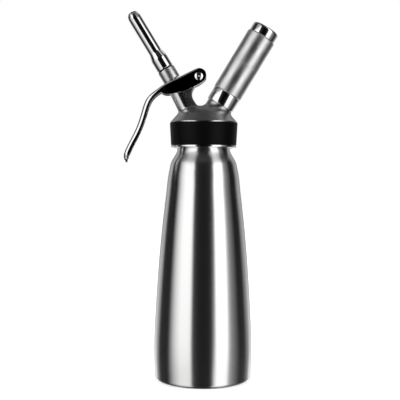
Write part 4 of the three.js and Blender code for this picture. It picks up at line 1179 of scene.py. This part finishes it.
# Levels of the studio round the object, as (degrees to the right of the camera, level)
WALL_LEVELS = [
    (-180, 0.12), (-165, 0.15), (-148, 0.42), (-131, 0.42), (-121, 0.02), (-87, 0.01), (-78, 0.45),
    (-70, 0.9), (-55, 1.35), (-29, 1.35), (-25.5, 0.03), (-8, 0.0015), (8, 0.0015), (27, 0.02), (31, 1.6),
    (59, 1.6), (64, 0.45), (75, 0.2), (93, 0.004), (115, 0.006), (130, 0.3), (148, 0.42), (165, 0.15),
    (180, 0.12),
]
LOWER_LEVELS = [
    (-180, 1.1), (-148, 1.3), (-138, 0.15), (-120, 0.03), (-93, 0.015), (-80, 0.25), (-55, 0.75),
    (-29, 0.8), (-25, 0.05), (-8, 0.01), (14, 0.01), (22, 0.05), (28, 1.1), (58, 1.1), (65, 0.35), (90, 0.1),
    (100, 0.03), (120, 0.06), (138, 0.2), (148, 1.3), (180, 1.1),
]
FRONT_LEVELS = [(-58, 0.42), (-30, 0.42), (-24, 0.03), (26, 0.02), (32, 0.7), (55, 0.7)]
UPPER_LEVELS = [
    (-180, 0.1), (-150, 0.25), (-135, 0.4), (-124, 0.02), (-74, 0.02), *FRONT_LEVELS,
    (68, 0.02), (118, 0.02), (126, 0.9), (150, 0.4), (180, 0.1),
]
HIGH_LEVELS = [
    (-180, 0.1), (-140, 0.25), (-118, 0.45), (-108, 0.03), (-74, 0.03), *FRONT_LEVELS,
    (68, 0.03), (103, 0.02), (111, 1.3), (140, 0.4), (180, 0.1),
]
FLOOR_LEVEL = 0.02
CEILING_LEVEL = 0.05
DIFFUSE_LEVEL = 0.8
# Heights on the unit sphere between which one zone gives way to the next
FLOOR_TO_LOWER = (-0.85, -0.75)
LOWER_TO_WALL = (-0.35, -0.02)
WALL_TO_UPPER = (0.54, 0.62)
UPPER_TO_HIGH = (0.72, 0.77)
HIGH_TO_CEILING = (0.85, 0.94)
SPREAD_WITH_HEIGHT = 0.45


def studio_world():
    world = bpy.data.worlds.new("studio")
    bpy.context.scene.world = world
    recipe = Recipe(world)
    path = recipe.node("LightPath")
    direction = recipe.node("TexCoord").outputs["Generated"]
    parts = recipe.node("SeparateXYZ", {"Vector": direction})
    height = parts.outputs["Z"]
    turn = recipe.math("ARCTAN2", parts.outputs["X"], recipe.math("MULTIPLY", parts.outputs["Y"], -1.0))
    spread = recipe.math("MULTIPLY", recipe.math("MAXIMUM", height, 0.0), SPREAD_WITH_HEIGHT)
    spread = recipe.math("MULTIPLY", spread, recipe.math("SINE", turn))
    turn = recipe.math("SUBTRACT", turn, spread)
    share = recipe.math("ADD", recipe.math("DIVIDE", turn, FULL_TURN), 0.5)

    def zone(levels):
        return recipe.ramp(share, [(0.5 + degrees / 360, level) for degrees, level in levels])

    zones = [
        (FLOOR_TO_LOWER, zone(LOWER_LEVELS)),
        (LOWER_TO_WALL, zone(WALL_LEVELS)),
        (WALL_TO_UPPER, zone(UPPER_LEVELS)),
        (UPPER_TO_HIGH, zone(HIGH_LEVELS)),
        (HIGH_TO_CEILING, grey(CEILING_LEVEL)),
    ]
    reflected = grey(FLOOR_LEVEL)
    for heights, level in zones:
        reflected = recipe.mixed(recipe.ranged(height, 0.0, 1.0, *heights), reflected, level)
    lit = recipe.mixed(path.outputs["Is Glossy Ray"], grey(DIFFUSE_LEVEL), reflected)
    colour = recipe.mixed(path.outputs["Is Camera Ray"], lit, grey(1.0))
    background = recipe.node("Background", {"Color": colour, "Strength": 1.0})
    recipe.finish(background, "OutputWorld")


def add_lamp(name, place, size, watts):
    data = bpy.data.lights.new(name, "AREA")
    data.shape = "SQUARE"
    data.size = size
    data.energy = watts
    facing = (Vector(LAMP_AIM) - Vector(place)).to_track_quat("-Z", "Y")
    lamp = added(name, data, Matrix.Translation(place) @ facing.to_matrix().to_4x4())
    lamp.visible_glossy = False


add_camera()
add_floor()
studio_world()
for lamp in LAMPS:
    add_lamp(*lamp)
make_bottle()
make_head()
make_stem()
make_spring()
make_collar()
make_nozzle()
make_lever()
make_pivot()
make_holder()
finish_hidden_nodes()
bpy.context.scene.view_settings.view_transform = "Standard"
